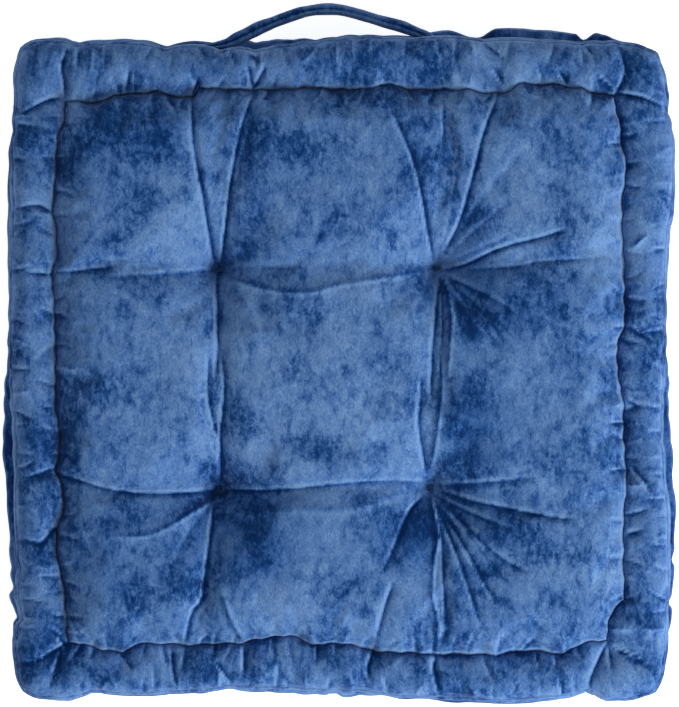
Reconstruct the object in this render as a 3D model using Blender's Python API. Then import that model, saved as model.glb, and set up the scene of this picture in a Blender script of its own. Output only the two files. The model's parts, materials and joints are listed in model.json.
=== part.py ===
"""Square tufted floor cushion with rolled edges and a carry handle, in metres, +Z up.

The origin is the middle of the underside, on the floor. +X is to the right, and +Y points to
the side that carries the handle. The loop of the handle swings about an axis along X.
"""

import math

import bmesh
import bpy
from mathutils import Vector

# Driving dimensions of the cushion
HALF_SIDE = 0.250  # from the middle to the edge seam of the top panel
CORNER_RADIUS = 0.030  # of the edge seam at each corner
CROWN = 0.104  # height of the filled cells above the floor
ROLL_WIDTH = 0.030  # from the edge seam to the stitching that closes off the roll
CLOTH = 0.0015  # thickness of the velvet
GAP = 0.0005  # between pieces that touch
TOP_SEAM_Z = 0.0830
BOTTOM_SEAM_Z = 0.0170
TOP_GROOVE_Z = 0.0860
BOTTOM_GROOVE_Z = 0.0090
BESIDE_GROOVE = 0.005  # how far the cells drop beside the stitching

# Tufts: where each one pulls the two faces together, and how deep
TUFTS = ((-0.0946, 0.0754), (0.0731, 0.0769), (-0.0946, -0.0954), (0.0677, -0.0915))
TUFT_COLUMNS = (-0.0946, 0.0705)
TUFT_ROWS = (-0.0935, 0.0760)
TOP_TUFT_DEPTH = 0.032
BOTTOM_TUFT_DEPTH = 0.020
TOP_TUFT_REACH = 0.060
BOTTOM_TUFT_REACH = 0.036
VALLEY_DEPTH = 0.006
VALLEY_REACH = 0.024
TWINE_RADIUS = 0.0012
KNOT_RADIUS = 0.0015
KNOT_CLEAR = 0.0030
KNOT_RINGS = ((-0.5, 0.85), (0.5, 0.85))  # (height, width) as shares of the knot's radius
CHANNEL_RADIUS = 0.0050
CHANNEL_SIDES = 10
ROUND_SIDES = 8
TUFT_SLACK = 0.005  # furthest that a tuft lies from the crossing of its grid lines
EVEN_PULL = 0.4  # share of a tuft's pull that fades evenly; the rest fades faster
SHOULDER_PULL = 0.5  # share of the pull that reaches the cells' outer edge

# Stitching that closes off the rolls
THREAD_RADIUS = 0.0006
TOP_GUSSET_GROOVE = (-0.012, 0.064)
BOTTOM_GUSSET_GROOVE = (-0.012, 0.036)

# Outer face of the gusset from top to bottom: (distance out from the edge seam, height)
GUSSET_PROFILE = (
    (-0.0005, 0.0806),
    (0.0020, 0.0760),
    (-0.0040, 0.0680),
    TOP_GUSSET_GROOVE,
    (-0.0060, 0.0580),
    (-0.0040, 0.0500),
    (-0.0060, 0.0420),
    BOTTOM_GUSSET_GROOVE,
    (0.0020, 0.0310),
    (0.0050, 0.0240),
    (-0.0005, 0.0194),
)
LEAST_MITRE = 0.6  # keeps the gusset's inner face from running away at its sharp grooves

# Sections of what runs round the cushion: (distance out from the edge seam, height)
TOP_SEAM_SECTION = ((0.0002, 0.0815), (0.0026, 0.0822), (0.0026, 0.0840), (0.0002, 0.0850))
BOTTOM_SEAM_SECTION = ((0.0002, 0.0150), (0.0030, 0.0158), (0.0030, 0.0178), (0.0002, 0.0186))
TOP_ROLL_SECTION = (
    (-0.0275, 0.0850),
    (-0.0272, 0.0700),
    (-0.0145, 0.0665),
    (-0.0065, 0.0700),
    (-0.0025, 0.0765),
    (-0.0045, 0.0825),
    (-0.0105, 0.0915),
    (-0.0205, 0.0925),
)
BOTTOM_ROLL_SECTION = (
    (-0.0275, 0.0100),
    (-0.0205, 0.0030),
    (-0.0105, 0.0065),
    (-0.0055, 0.0180),
    (-0.0005, 0.0235),
    (-0.0010, 0.0290),
    (-0.0125, 0.0337),
    (-0.0272, 0.0300),
)
# Edge of the block of fibre between the panels: (distance out from its shoulder, height)
CORE_WAIST = (
    (0.0130, 0.0800),
    (0.0130, 0.0670),
    (0.0300, 0.0600),
    (0.0300, 0.0400),
    (0.0130, 0.0330),
    (0.0130, 0.0140),
)

# Handle
AXIS_Y = 0.2535
AXIS_Z = 0.050
STRAP_THICKNESS = 0.0075
STRAP_HALF_WIDTH = 0.0120
STRAP_END_HALF_WIDTH = 0.0045
STRAP_TAPER = 0.012  # distance from the axis over which the gathered ends widen out
STRAP_WALL = 0.0016
WEBBING_GAP = 0.0004
STRAP_ROUTE = (
    (-0.0820, 0.2553),
    (-0.0670, 0.2615),
    (-0.0531, 0.2675),
    (-0.0361, 0.2741),
    (-0.0185, 0.2772),
    (-0.0031, 0.2772),
    (0.0100, 0.2742),
    (0.0277, 0.2688),
    (0.0446, 0.2645),
    (0.0600, 0.2595),
    (0.0672, 0.2560),
)
STRAP_STEPS = 2  # pieces between two points of the route
# The strap's sewn ends: both corners of each one's outer face, seen from above
LEFT_TAB = ((-0.1110, 0.2495), (-0.0862, 0.2535))
RIGHT_TAB = ((0.0728, 0.2525), (0.0950, 0.2490))
TAB_HALF_HEIGHT = 0.0095
TAB_BACK = HALF_SIDE - 0.0040 + GAP  # just clear of the gusset's waist
STITCH_MARGIN = 0.003  # from a tab's edge to its stitches

# Grid lines of the panels, from the seam through the roll to the middle
ROLL_STEPS = (0.0, 0.009, 0.021, 0.030)
TOP_ROLL_HEIGHTS = (TOP_SEAM_Z, 0.0945, 0.0955, TOP_GROOVE_Z)  # one for each step
BOTTOM_ROLL_HEIGHTS = (BOTTOM_SEAM_Z, 0.0040, 0.0, BOTTOM_GROOVE_Z)
FULL_CELL = 0.45  # share of the way between two tufts at which the cell is full
OUTER_CELL_SHIFT = 1 / 12  # the outer cells are full this much nearer to the roll than to the tuft
INNER_STEP = 0.015
ARC_START = HALF_SIDE - CORNER_RADIUS
SHOULDER = ARC_START - INNER_STEP

EIGHTH_TURN = math.pi / 4
SMOOTH_BELOW = math.radians(40)

# Finishes: (colour, roughness)
VELVET = ((0.048, 0.122, 0.296, 1.0), 0.75)
SEAM_VELVET = ((0.022, 0.066, 0.180, 1.0), 0.75)
THREAD_BLUE = ((0.012, 0.030, 0.085, 1.0), 0.7)
FIBRE_WHITE = ((0.80, 0.80, 0.78, 1.0), 0.9)
WEBBING_GREY = ((0.25, 0.27, 0.30, 1.0), 0.8)
TWINE_CREAM = ((0.62, 0.56, 0.44, 1.0), 0.8)


def clear_scene():
    for obj in list(bpy.data.objects):
        bpy.data.objects.remove(obj, do_unlink=True)


def make_material(name, colour, roughness):
    material = bpy.data.materials.new(name)
    material.use_nodes = True
    shader = material.node_tree.nodes["Principled BSDF"]
    shader.inputs["Base Color"].default_value = colour
    shader.inputs["Roughness"].default_value = roughness
    shader.inputs["Metallic"].default_value = 0.0
    return material


def face_outwards(mesh):
    """Turns every face of a closed mesh so that it looks out."""
    shape = bmesh.new()
    shape.from_mesh(mesh)
    bmesh.ops.recalc_face_normals(shape, faces=shape.faces)
    shape.to_mesh(mesh)
    shape.free()


def add_object(name, points, faces, finish, parent=None):
    """A mesh object from points in world metres."""
    mesh = bpy.data.meshes.new(name)
    origin = parent.location if parent else Vector((0.0, 0.0, 0.0))
    mesh.from_pydata([Vector(p) - origin for p in points], [], faces)
    face_outwards(mesh)
    mesh.materials.append(make_material(name, *finish))
    mesh.shade_smooth()
    mesh.set_sharp_from_angle(angle=SMOOTH_BELOW)
    obj = bpy.data.objects.new(name, mesh)
    obj.parent = parent
    bpy.context.scene.collection.objects.link(obj)
    return obj


# The outline: four straight sides with a round corner between each two


def corner_fractions():
    """Where each grid line between the arc's start and the seam lies, from 0 to 1."""
    steps = sorted(ROLL_STEPS, reverse=True)
    return [1.0 - step / CORNER_RADIUS for step in steps]


def arc_angles():
    """Angles of the points along one corner, in radians, from one side to the next."""
    first_half = [EIGHTH_TURN * fraction for fraction in corner_fractions()]
    return first_half + [2 * EIGHTH_TURN - angle for angle in reversed(first_half[:-1])]


def outline(outward):
    """Points of the outline that lies outward of the seam, anticlockwise from +X."""
    points = []
    for quarter in range(4):
        centre_x = ARC_START if quarter in (0, 3) else -ARC_START
        centre_y = ARC_START if quarter in (0, 1) else -ARC_START
        radius = max(CORNER_RADIUS + outward, 0.0)
        for angle in arc_angles():
            turned = angle + quarter * math.pi / 2
            points.append((centre_x + radius * math.cos(turned), centre_y + radius * math.sin(turned)))
    return points


def quad_strip(count, section):
    """Faces between rings of section points, for count rings that close on themselves."""
    faces = []
    for ring in range(count):
        following = (ring + 1) % count
        for i in range(section):
            j = (i + 1) % section
            here, there = ring * section, following * section
            faces.append((here + i, there + i, there + j, here + j))
    return faces


def diamond(radius):
    """Section of a thread."""
    return (radius, 0.0), (0.0, radius), (-radius, 0.0), (0.0, -radius)


def swept_ring(name, section, finish):
    """A closed band whose section, (outward, height) pairs, runs anticlockwise seen along the path."""
    rings = [outline(outward) for outward, _ in section]
    count = len(rings[0])
    points = [(*rings[i][k], section[i][1]) for k in range(count) for i in range(len(section))]
    return add_object(name, points, quad_strip(count, len(section)), finish)


def square_ring(name, half, height):
    """A thread that runs along a sharp-cornered square."""
    section = diamond(THREAD_RADIUS)
    points = []
    for sign_x, sign_y in ((1, 1), (-1, 1), (-1, -1), (1, -1)):
        for outward, up in section:
            points.append((sign_x * (half + outward), sign_y * (half + outward), height + up))
    return add_object(name, points, quad_strip(4, len(section)), THREAD_BLUE)


# The two panels


def grid_lines(tuft_lines):
    """Grid lines across one panel: the roll, the shoulder, both tuft lines and the cells."""
    outer = [HALF_SIDE - step for step in ROLL_STEPS] + [SHOULDER]
    first, second = tuft_lines
    apart = second - first
    inner = [
        (first - SHOULDER) / 2 - OUTER_CELL_SHIFT * apart,
        first - VALLEY_REACH,
        first,
        first + apart / 4,
        first + FULL_CELL * apart,
        second - FULL_CELL * apart,
        second - apart / 4,
        second,
        second + VALLEY_REACH,
        (second + SHOULDER) / 2 + OUTER_CELL_SHIFT * apart,
    ]
    return [-value for value in outer] + inner + outer[::-1]


LINES_X = grid_lines(TUFT_COLUMNS)
LINES_Y = grid_lines(TUFT_ROWS)


def on_panel(x, y):
    """Moves a grid point onto the rounded outline, and a tuft's grid point onto the tuft."""
    for tuft_x, tuft_y in TUFTS:
        close = math.hypot(x - tuft_x, y - tuft_y) < TUFT_SLACK
        if x in TUFT_COLUMNS and y in TUFT_ROWS and close:
            return tuft_x, tuft_y
    reach = max(abs(x), abs(y))
    beside = min(abs(x), abs(y))
    if beside <= ARC_START or reach <= ARC_START:
        return x, y
    angle = EIGHTH_TURN * (beside - ARC_START) / (reach - ARC_START)
    along = ARC_START + (reach - ARC_START) * math.cos(angle)
    across = ARC_START + (reach - ARC_START) * math.sin(angle)
    wide, tall = (along, across) if abs(x) >= abs(y) else (across, along)
    return math.copysign(wide, x), math.copysign(tall, y)


def dip(grid_x, grid_y, depth, reach):
    """How far the tufts and the valleys between them pull the cells down."""
    x, y = on_panel(grid_x, grid_y)
    lowest = 0.0
    for tuft_x, tuft_y in TUFTS:
        near = max(0.0, 1.0 - math.hypot(x - tuft_x, y - tuft_y) / reach)
        lowest = max(lowest, depth * near * (EVEN_PULL + (1.0 - EVEN_PULL) * near))
    for value, lines in ((x, TUFT_COLUMNS), (y, TUFT_ROWS)):
        away = min(abs(value - line) for line in lines)
        valley = VALLEY_DEPTH * depth / TOP_TUFT_DEPTH
        lowest = max(lowest, valley * max(0.0, 1.0 - away / VALLEY_REACH))
    return lowest


def roll_height(reach, heights):
    """Height of a panel where reach is one of the grid lines across its roll."""
    for step, height in zip(ROLL_STEPS, heights):
        if math.isclose(reach, HALF_SIDE - step):
            return height
    return None


def top_height(x, y):
    """Outer surface of the top panel above a grid point."""
    reach = max(abs(x), abs(y))
    on_roll = roll_height(reach, TOP_ROLL_HEIGHTS)
    if on_roll is not None:
        return on_roll
    pulled = dip(x, y, TOP_TUFT_DEPTH, TOP_TUFT_REACH)
    if math.isclose(reach, SHOULDER):
        return CROWN - BESIDE_GROOVE - SHOULDER_PULL * pulled
    return CROWN - pulled


def bottom_height(x, y):
    """Outer surface of the bottom panel, pressed flat on the floor between its tufts."""
    reach = max(abs(x), abs(y))
    on_roll = roll_height(reach, BOTTOM_ROLL_HEIGHTS)
    if on_roll is not None:
        return on_roll
    if math.isclose(reach, SHOULDER):
        return 0.0
    return dip(x, y, BOTTOM_TUFT_DEPTH, BOTTOM_TUFT_REACH)


def grid_faces(columns, rows, offset, flip):
    """Triangles of one grid of points, each square cut along the same diagonal."""
    faces = []
    for j in range(rows - 1):
        for i in range(columns - 1):
            a = offset + j * columns + i
            b, c, d = a + 1, a + 1 + columns, a + columns
            pair = [(a, b, c), (a, c, d)]
            faces += [face[::-1] for face in pair] if flip else pair
    return faces


def rim_loop(columns, rows):
    """Indices around the edge of a grid, anticlockwise seen from above."""
    bottom = list(range(columns - 1))
    right = [j * columns + columns - 1 for j in range(rows - 1)]
    top = [rows * columns - 1 - i for i in range(columns - 1)]
    left = [(rows - 1 - j) * columns for j in range(rows - 1)]
    return bottom + right + top + left


def panel(name, height, outside_up):
    """One sheet of velvet, a cloth's thickness, from edge seam to edge seam."""
    upper_shift = 0.0 if outside_up else CLOTH
    lower_shift = -CLOTH if outside_up else 0.0
    upper = []
    lower = []
    for y in LINES_Y:
        for x in LINES_X:
            place = on_panel(x, y)
            upper.append((*place, height(x, y) + upper_shift))
            lower.append((*place, height(x, y) + lower_shift))
    columns, rows = len(LINES_X), len(LINES_Y)
    size = columns * rows
    faces = grid_faces(columns, rows, 0, False) + grid_faces(columns, rows, size, True)
    loop = rim_loop(columns, rows)
    for k, here in enumerate(loop):
        after = loop[(k + 1) % len(loop)]
        faces.append((here, size + here, size + after, after))
    return add_object(name, upper + lower, faces, VELVET)


# The filling


def core_fill():
    """The middle block of fibre, which fills both panels' cells and the waist between the rolls."""
    lines_x = [x for x in LINES_X if abs(x) <= SHOULDER + GAP]
    lines_y = [y for y in LINES_Y if abs(y) <= SHOULDER + GAP]
    columns, rows = len(lines_x), len(lines_y)
    size = columns * rows
    upper = []
    lower = []
    for y in lines_y:
        for x in lines_x:
            place = on_panel(x, y)
            upper.append((*place, top_height(x, y) - CLOTH - GAP))
            lower.append((*place, bottom_height(x, y) + CLOTH + GAP))
    loop = rim_loop(columns, rows)
    rings = []
    for out, height in CORE_WAIST:
        for index in loop:
            x, y = upper[index][:2]
            rings.append((*pushed_out(x, y, out), height))
    points = upper + lower + rings
    faces = grid_faces(columns, rows, 0, False) + grid_faces(columns, rows, size, True)
    count = len(loop)
    levels = [loop]
    for ring in range(len(CORE_WAIST)):
        start = 2 * size + ring * count
        levels.append(range(start, start + count))
    levels.append([size + index for index in loop])
    for above, below in zip(levels, levels[1:]):
        for k in range(count):
            after = (k + 1) % count
            faces.append((above[k], below[k], below[after], above[after]))
    return add_object("core_fill", points, faces, FIBRE_WHITE)


def pushed_out(x, y, out):
    """Moves a point of the shoulder's square outwards, round its corners."""
    at_x = math.isclose(abs(x), SHOULDER)
    at_y = math.isclose(abs(y), SHOULDER)
    share = math.cos(EIGHTH_TURN) if at_x and at_y else 1.0
    return (
        x + math.copysign(out * share, x) * at_x,
        y + math.copysign(out * share, y) * at_y,
    )


def cut_tuft_channels(core):
    """Bores the narrow way of each tuft's twine through the block of fibre."""
    for number, centre in enumerate(TUFTS, start=1):
        cutter = prism(f"channel_cutter_{number}", centre, CHANNEL_RADIUS, -CROWN, 2 * CROWN, CHANNEL_SIDES)
        cutter.hide_render = True
        cutter.display_type = "WIRE"
        cut = core.modifiers.new(f"channel_{number}", "BOOLEAN")
        cut.operation = "DIFFERENCE"
        cut.object = cutter


# The gusset and the seams


def gusset(name, side):
    """One side strip, from the top seam under the upper roll, over the waist, to the bottom seam."""
    inner = [inset_point(GUSSET_PROFILE, k) for k in range(len(GUSSET_PROFILE))]
    section = [*GUSSET_PROFILE, *reversed(inner)]
    middle = 2 * EIGHTH_TURN * side
    rings = []
    for outward, height in section:
        radius = CORNER_RADIUS + outward
        slack = GAP / 2 / radius
        ends = (middle - EIGHTH_TURN + slack, middle + EIGHTH_TURN - slack)
        rings.append([(x, y, height) for x, y in side_route(radius, middle, ends)])
    count = len(rings[0])
    size = len(section)
    points = [rings[i][k] for k in range(count) for i in range(size)]
    faces = []
    for k in range(count - 1):
        for i in range(size):
            j = (i + 1) % size
            faces.append((k * size + i, k * size + j, (k + 1) * size + j, (k + 1) * size + i))
    last = (count - 1) * size
    for i in range(len(GUSSET_PROFILE) - 1):
        j = size - 1 - i
        faces.append((i, j, j - 1, i + 1))
        faces.append((last + i + 1, last + j - 1, last + j, last + i))
    return add_object(name, points, faces, VELVET)


def side_route(radius, middle, ends):
    """Points along one side, from the middle of one corner to the middle of the next."""
    first_corner = Vector((ARC_START, -ARC_START))
    second_corner = Vector((ARC_START, ARC_START))
    angles = [EIGHTH_TURN * fraction for fraction in corner_fractions()]
    stops = [(first_corner, -angle) for angle in reversed(angles)]
    stops += [(second_corner, angle) for angle in angles]
    route = []
    for corner, turned in stops:
        limited = min(max(turned, ends[0] - middle), ends[1] - middle)
        route.append(corner + radius * Vector((math.cos(limited), math.sin(limited))))
    turn = (math.cos(middle), math.sin(middle))
    return [(turn[0] * p.x - turn[1] * p.y, turn[1] * p.x + turn[0] * p.y) for p in route]


def inset_point(line, k):
    """The point a cloth's thickness inside line, at its point k, mitred."""
    here = Vector(line[k])
    before = Vector(line[max(k - 1, 0)])
    after = Vector(line[min(k + 1, len(line) - 1)])
    first = (here - before) if k > 0 else (after - here)
    second = (after - here) if k < len(line) - 1 else (here - before)
    normals = [Vector((d.y, -d.x)).normalized() for d in (first, second)]
    bisector = (normals[0] + normals[1]).normalized()
    stretch = 1.0 / max(bisector.dot(normals[0]), LEAST_MITRE)
    moved = here + bisector * CLOTH * stretch
    return moved.x, moved.y


# The tufts


def prism(name, centre, radius, low, high, sides, finish=FIBRE_WHITE):
    """An upright round rod."""
    points = []
    for height in (low, high):
        for k in range(sides):
            angle = 2 * math.pi * k / sides
            across, along = radius * math.cos(angle), radius * math.sin(angle)
            points.append((centre[0] + across, centre[1] + along, height))
    faces = [tuple(reversed(range(sides))), tuple(range(sides, 2 * sides))]
    for k in range(sides):
        after = (k + 1) % sides
        faces.append((k, after, sides + after, sides + k))
    return add_object(name, points, faces, finish)


def knot(name, centre):
    """The short loop of thread that shows where a tuft comes out of the velvet."""
    sides = ROUND_SIDES
    points = [(centre[0], centre[1], centre[2] - KNOT_RADIUS)]
    for up, wide in KNOT_RINGS:
        for k in range(sides):
            angle = 2 * math.pi * k / sides
            points.append((
                centre[0] + wide * KNOT_RADIUS * math.cos(angle),
                centre[1] + wide * KNOT_RADIUS * math.sin(angle),
                centre[2] + up * KNOT_RADIUS,
            ))
    points.append((centre[0], centre[1], centre[2] + KNOT_RADIUS))
    last = len(points) - 1
    faces = []
    for k in range(sides):
        after = (k + 1) % sides
        faces.append((0, 1 + after, 1 + k))
        faces.append((1 + k, 1 + after, 1 + sides + after, 1 + sides + k))
        faces.append((last, 1 + sides + k, 1 + sides + after))
    return add_object(name, points, faces, THREAD_BLUE)


def tufts():
    """Each tuft's twine through the fibre, and the loop that shows on either face."""
    top = CROWN - TOP_TUFT_DEPTH
    bottom = BOTTOM_TUFT_DEPTH
    low = bottom + CLOTH + GAP
    high = top - CLOTH - GAP
    for number, (x, y) in enumerate(TUFTS, start=1):
        prism(f"tuft_twine_{number}", (x, y), TWINE_RADIUS, low, high, ROUND_SIDES, TWINE_CREAM)
        knot(f"tuft_stitch_top_{number}", (x, y, top + KNOT_CLEAR))
        knot(f"tuft_stitch_bottom_{number}", (x, y, bottom - KNOT_CLEAR))


# The handle


def smooth_route(points, steps):
    """A smooth curve through points, with steps pieces between each two."""
    ends = [2 * Vector(points[0]) - Vector(points[1]), 2 * Vector(points[-1]) - Vector(points[-2])]
    row = [ends[0]] + [Vector(p) for p in points] + [ends[1]]
    curve = []
    for k in range(1, len(row) - 2):
        a, b, c, d = row[k - 1 : k + 3]
        for step in range(steps):
            t = step / steps
            slope = c - a
            bend = 2 * a - 5 * b + 4 * c - d
            twist = 3 * (b - c) + d - a
            curve.append(b + 0.5 * (slope * t + bend * t**2 + twist * t**3))
    curve.append(row[-2])
    return curve


def strap_sections(half_thickness, margin):
    """Four corners of the strap at each point of its route; margin narrows its width."""
    route = smooth_route(STRAP_ROUTE, STRAP_STEPS)
    sections = []
    for k, here in enumerate(route):
        along = (route[min(k + 1, len(route) - 1)] - route[max(k - 1, 0)]).normalized()
        across = Vector((-along.y, along.x))
        spread = min(1.0, max(0.0, (here.y - AXIS_Y) / STRAP_TAPER))
        widening = (STRAP_HALF_WIDTH - STRAP_END_HALF_WIDTH) * spread
        half_width = STRAP_END_HALF_WIDTH + widening - margin
        outer = here + across * half_thickness
        inner = here - across * half_thickness
        sections.append((
            (inner.x, inner.y, AXIS_Z - half_width),
            (outer.x, outer.y, AXIS_Z - half_width),
            (outer.x, outer.y, AXIS_Z + half_width),
            (inner.x, inner.y, AXIS_Z + half_width),
        ))
    return sections


def band_faces(count, flip):
    """Side faces of a four-cornered band with count sections."""
    faces = []
    for k in range(count - 1):
        for i in range(4):
            j = (i + 1) % 4
            face = (k * 4 + i, (k + 1) * 4 + i, (k + 1) * 4 + j, k * 4 + j)
            faces.append(face[::-1] if flip else face)
    return faces


def handle(pivot):
    """The loop: a sleeve of velvet, open at both ends, over a band of webbing."""
    outer = strap_sections(STRAP_THICKNESS / 2, 0.0)
    inner = strap_sections(STRAP_THICKNESS / 2 - STRAP_WALL, STRAP_WALL)
    count = len(outer)
    points = [p for section in outer for p in section] + [p for section in inner for p in section]
    shift = 4 * count
    faces = band_faces(count, False)
    faces += [tuple(shift + i for i in face) for face in band_faces(count, True)]
    last = 4 * (count - 1)
    for i in range(4):
        j = (i + 1) % 4
        faces.append((i, j, shift + j, shift + i))
        faces.append((last + i, shift + last + i, shift + last + j, last + j))
    add_object("handle_strap", points, faces, VELVET, pivot)

    inset = STRAP_WALL + WEBBING_GAP
    core = strap_sections(STRAP_THICKNESS / 2 - inset, inset)
    points = [p for section in core for p in section]
    faces = band_faces(count, False)
    faces += [(0, 1, 2, 3), (last + 3, last + 2, last + 1, last)]
    add_object("handle_webbing", points, faces, WEBBING_GREY, pivot)


def block(name, corners, low, high, finish):
    """An upright block over four corners, which run anticlockwise seen from above."""
    points = [(*corner, low) for corner in corners] + [(*corner, high) for corner in corners]
    faces = [(3, 2, 1, 0), (4, 5, 6, 7)]
    faces += [(i, (i + 1) % 4, 4 + (i + 1) % 4, 4 + i) for i in range(4)]
    return add_object(name, points, faces, finish)


def thread_frame(name, first, second):
    """The rectangle of stitches on a tab, whose outer face runs from first to second."""
    slope = (second[1] - first[1]) / (second[0] - first[0])
    x_low, x_high = first[0] + STITCH_MARGIN, second[0] - STITCH_MARGIN
    half_height = TAB_HALF_HEIGHT - STITCH_MARGIN
    points = []
    for x, toward, side in ((x_high, 1, 1), (x_low, -1, 1), (x_low, -1, -1), (x_high, 1, -1)):
        face = first[1] + slope * (x - first[0]) + THREAD_RADIUS + GAP
        for out, forward in diamond(THREAD_RADIUS):
            points.append((x + toward * out, face + forward, AXIS_Z + side * (half_height + out)))
    return add_object(name, points, quad_strip(4, 4), THREAD_BLUE)


def handle_ends():
    """Both sewn ends of the strap, flat on the back gusset, and the stitches across them."""
    for side, (first, second) in (("left", LEFT_TAB), ("right", RIGHT_TAB)):
        corners = ((first[0], TAB_BACK), (second[0], TAB_BACK), second, first)
        low, high = AXIS_Z - TAB_HALF_HEIGHT, AXIS_Z + TAB_HALF_HEIGHT
        block(f"handle_tab_{side}", corners, low, high, VELVET)
        thread_frame(f"handle_stitching_{side}", first, second)


def stitching():
    """The four lines of thread that close off the rolls: one on each panel, two on the gusset."""
    clear = THREAD_RADIUS * 2
    groove = HALF_SIDE - ROLL_WIDTH
    square_ring("top_roll_stitching", groove, TOP_GROOVE_Z + clear)
    square_ring("bottom_roll_stitching", groove, BOTTOM_GROOVE_Z - clear)
    for name, (outward, height) in (
        ("upper_gusset_stitching", TOP_GUSSET_GROOVE),
        ("lower_gusset_stitching", BOTTOM_GUSSET_GROOVE),
    ):
        section = [(outward + 2 * clear + a, height + b) for a, b in diamond(THREAD_RADIUS)]
        swept_ring(name, section, THREAD_BLUE)


def build():
    clear_scene()
    panel("top_cover_panel", top_height, True)
    panel("bottom_cover_panel", bottom_height, False)
    for side, name in enumerate(("right", "back", "left", "front")):
        gusset(f"gusset_{name}", side)
    swept_ring("top_edge_seam", TOP_SEAM_SECTION, SEAM_VELVET)
    swept_ring("bottom_edge_seam", BOTTOM_SEAM_SECTION, SEAM_VELVET)
    cut_tuft_channels(core_fill())
    swept_ring("top_roll_fill", TOP_ROLL_SECTION, FIBRE_WHITE)
    swept_ring("bottom_roll_fill", BOTTOM_ROLL_SECTION, FIBRE_WHITE)
    stitching()
    tufts()

    pivot = bpy.data.objects.new("handle_pivot", None)
    pivot.location = (0.0, AXIS_Y, AXIS_Z)
    bpy.context.scene.collection.objects.link(pivot)
    handle(pivot)
    handle_ends()


build()
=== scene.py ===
"""Visual model of the square tufted floor cushion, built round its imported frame.

Metres, +Z up. The cushion lies on the floor and its handle is on the +Y side. Places on the cloth
are measured on a plain square first, u and v, and place() moves them to where the cloth really is.
"""

import json
import math

import bpy
import numpy as np
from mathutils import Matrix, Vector


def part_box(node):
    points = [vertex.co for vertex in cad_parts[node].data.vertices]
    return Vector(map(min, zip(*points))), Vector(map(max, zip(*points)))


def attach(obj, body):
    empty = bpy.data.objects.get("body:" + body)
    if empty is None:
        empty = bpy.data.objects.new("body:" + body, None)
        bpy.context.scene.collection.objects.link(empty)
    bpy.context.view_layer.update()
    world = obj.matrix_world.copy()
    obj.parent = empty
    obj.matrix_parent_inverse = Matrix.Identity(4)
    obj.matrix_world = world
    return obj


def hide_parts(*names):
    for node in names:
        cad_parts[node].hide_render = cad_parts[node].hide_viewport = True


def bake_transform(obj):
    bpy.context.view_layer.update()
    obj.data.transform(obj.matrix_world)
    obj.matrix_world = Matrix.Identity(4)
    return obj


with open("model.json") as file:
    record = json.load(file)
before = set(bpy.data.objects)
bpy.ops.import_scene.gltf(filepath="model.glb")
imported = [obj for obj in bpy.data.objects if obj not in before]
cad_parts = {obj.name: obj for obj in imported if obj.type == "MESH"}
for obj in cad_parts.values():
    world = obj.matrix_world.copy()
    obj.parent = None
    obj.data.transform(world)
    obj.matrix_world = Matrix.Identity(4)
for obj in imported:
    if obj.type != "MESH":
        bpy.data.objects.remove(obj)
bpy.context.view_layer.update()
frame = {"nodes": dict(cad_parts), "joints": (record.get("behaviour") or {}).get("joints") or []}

MM = 0.001
RANDOM = np.random.default_rng(41)

# Sizes that come from the frame
PANEL_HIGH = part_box("top_cover_panel")[1]
SEAM_LOW, SEAM_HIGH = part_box("top_edge_seam")
BOTTOM_SEAM_LOW, BOTTOM_SEAM_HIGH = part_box("bottom_edge_seam")
GROOVE_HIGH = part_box("top_roll_stitching")[1]
STRAP_LOW, STRAP_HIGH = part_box("handle_strap")
HINGE = Vector(frame["joints"][0]["pos_m"])
HALF_SIDE = PANEL_HIGH.x
CROWN_Z = PANEL_HIGH.z
SEAM_Z = (SEAM_LOW.z + SEAM_HIGH.z) / 2
BOTTOM_SEAM_Z = (BOTTOM_SEAM_LOW.z + BOTTOM_SEAM_HIGH.z) / 2
TUFTS = [(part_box(f"tuft_stitch_top_{k}")[0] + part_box(f"tuft_stitch_top_{k}")[1]) / 2 for k in (1, 2, 3, 4)]

# The rolled edge
ROLL_WIDTH = 0.030
ROLL_START = HALF_SIDE - ROLL_WIDTH
ROLL_MIDDLE = HALF_SIDE - ROLL_WIDTH / 2
ROLL_HALF_WIDTH = 0.0155
ROLL_BASE_Z = SEAM_Z + 0.0015
ROLL_HEIGHT = 0.0125
GROOVE_LINE = ROLL_MIDDLE - ROLL_HALF_WIDTH
SEAM_LINE = ROLL_MIDDLE + ROLL_HALF_WIDTH
SCALLOP_LENGTH = 0.018  # the stitch line draws in between its stitches
SCALLOP_DEPTH = 0.0012
SCALLOP_DRIFT = 0.05
LUMP_LENGTH = 0.027  # the filling pushes the seam out in lumps
LUMP_DEPTH = 0.0008
LUMP_DRIFT = 0.04
LOWER_ROLL_SPREAD = 0.0025  # how far the lower roll spreads under the weight
CORNER_BLEND = 0.02  # stretch of a corner over which one side's waves pass into the next side's

# The filled field inside the roll
GROOVE_Z = GROOVE_HIGH.z + 0.0015
LIP_REACH = 0.0025
SHOULDER_REACH = 0.012
TUFT_DEPTH = 0.020
TUFT_REACH = 0.021
TUFT_HELD = 0.004  # radius of the cloth that a tuft holds down
# Cloth simulation of the field
CLOTH_STEPS = 96
CLOTH_FRAMES = 20
CLOTH_PRESSURE = 2.0
CLOTH_SLACK = 0.02
CLOTH_HOLD = 0.0035
CLOTH_CAP = 0.005
# How much deeper the folds are than their tables say
FIELD_GAIN = 1.7
PLEAT_GAIN = 2.6
PLEAT_WIDTH = 2.5
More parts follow.
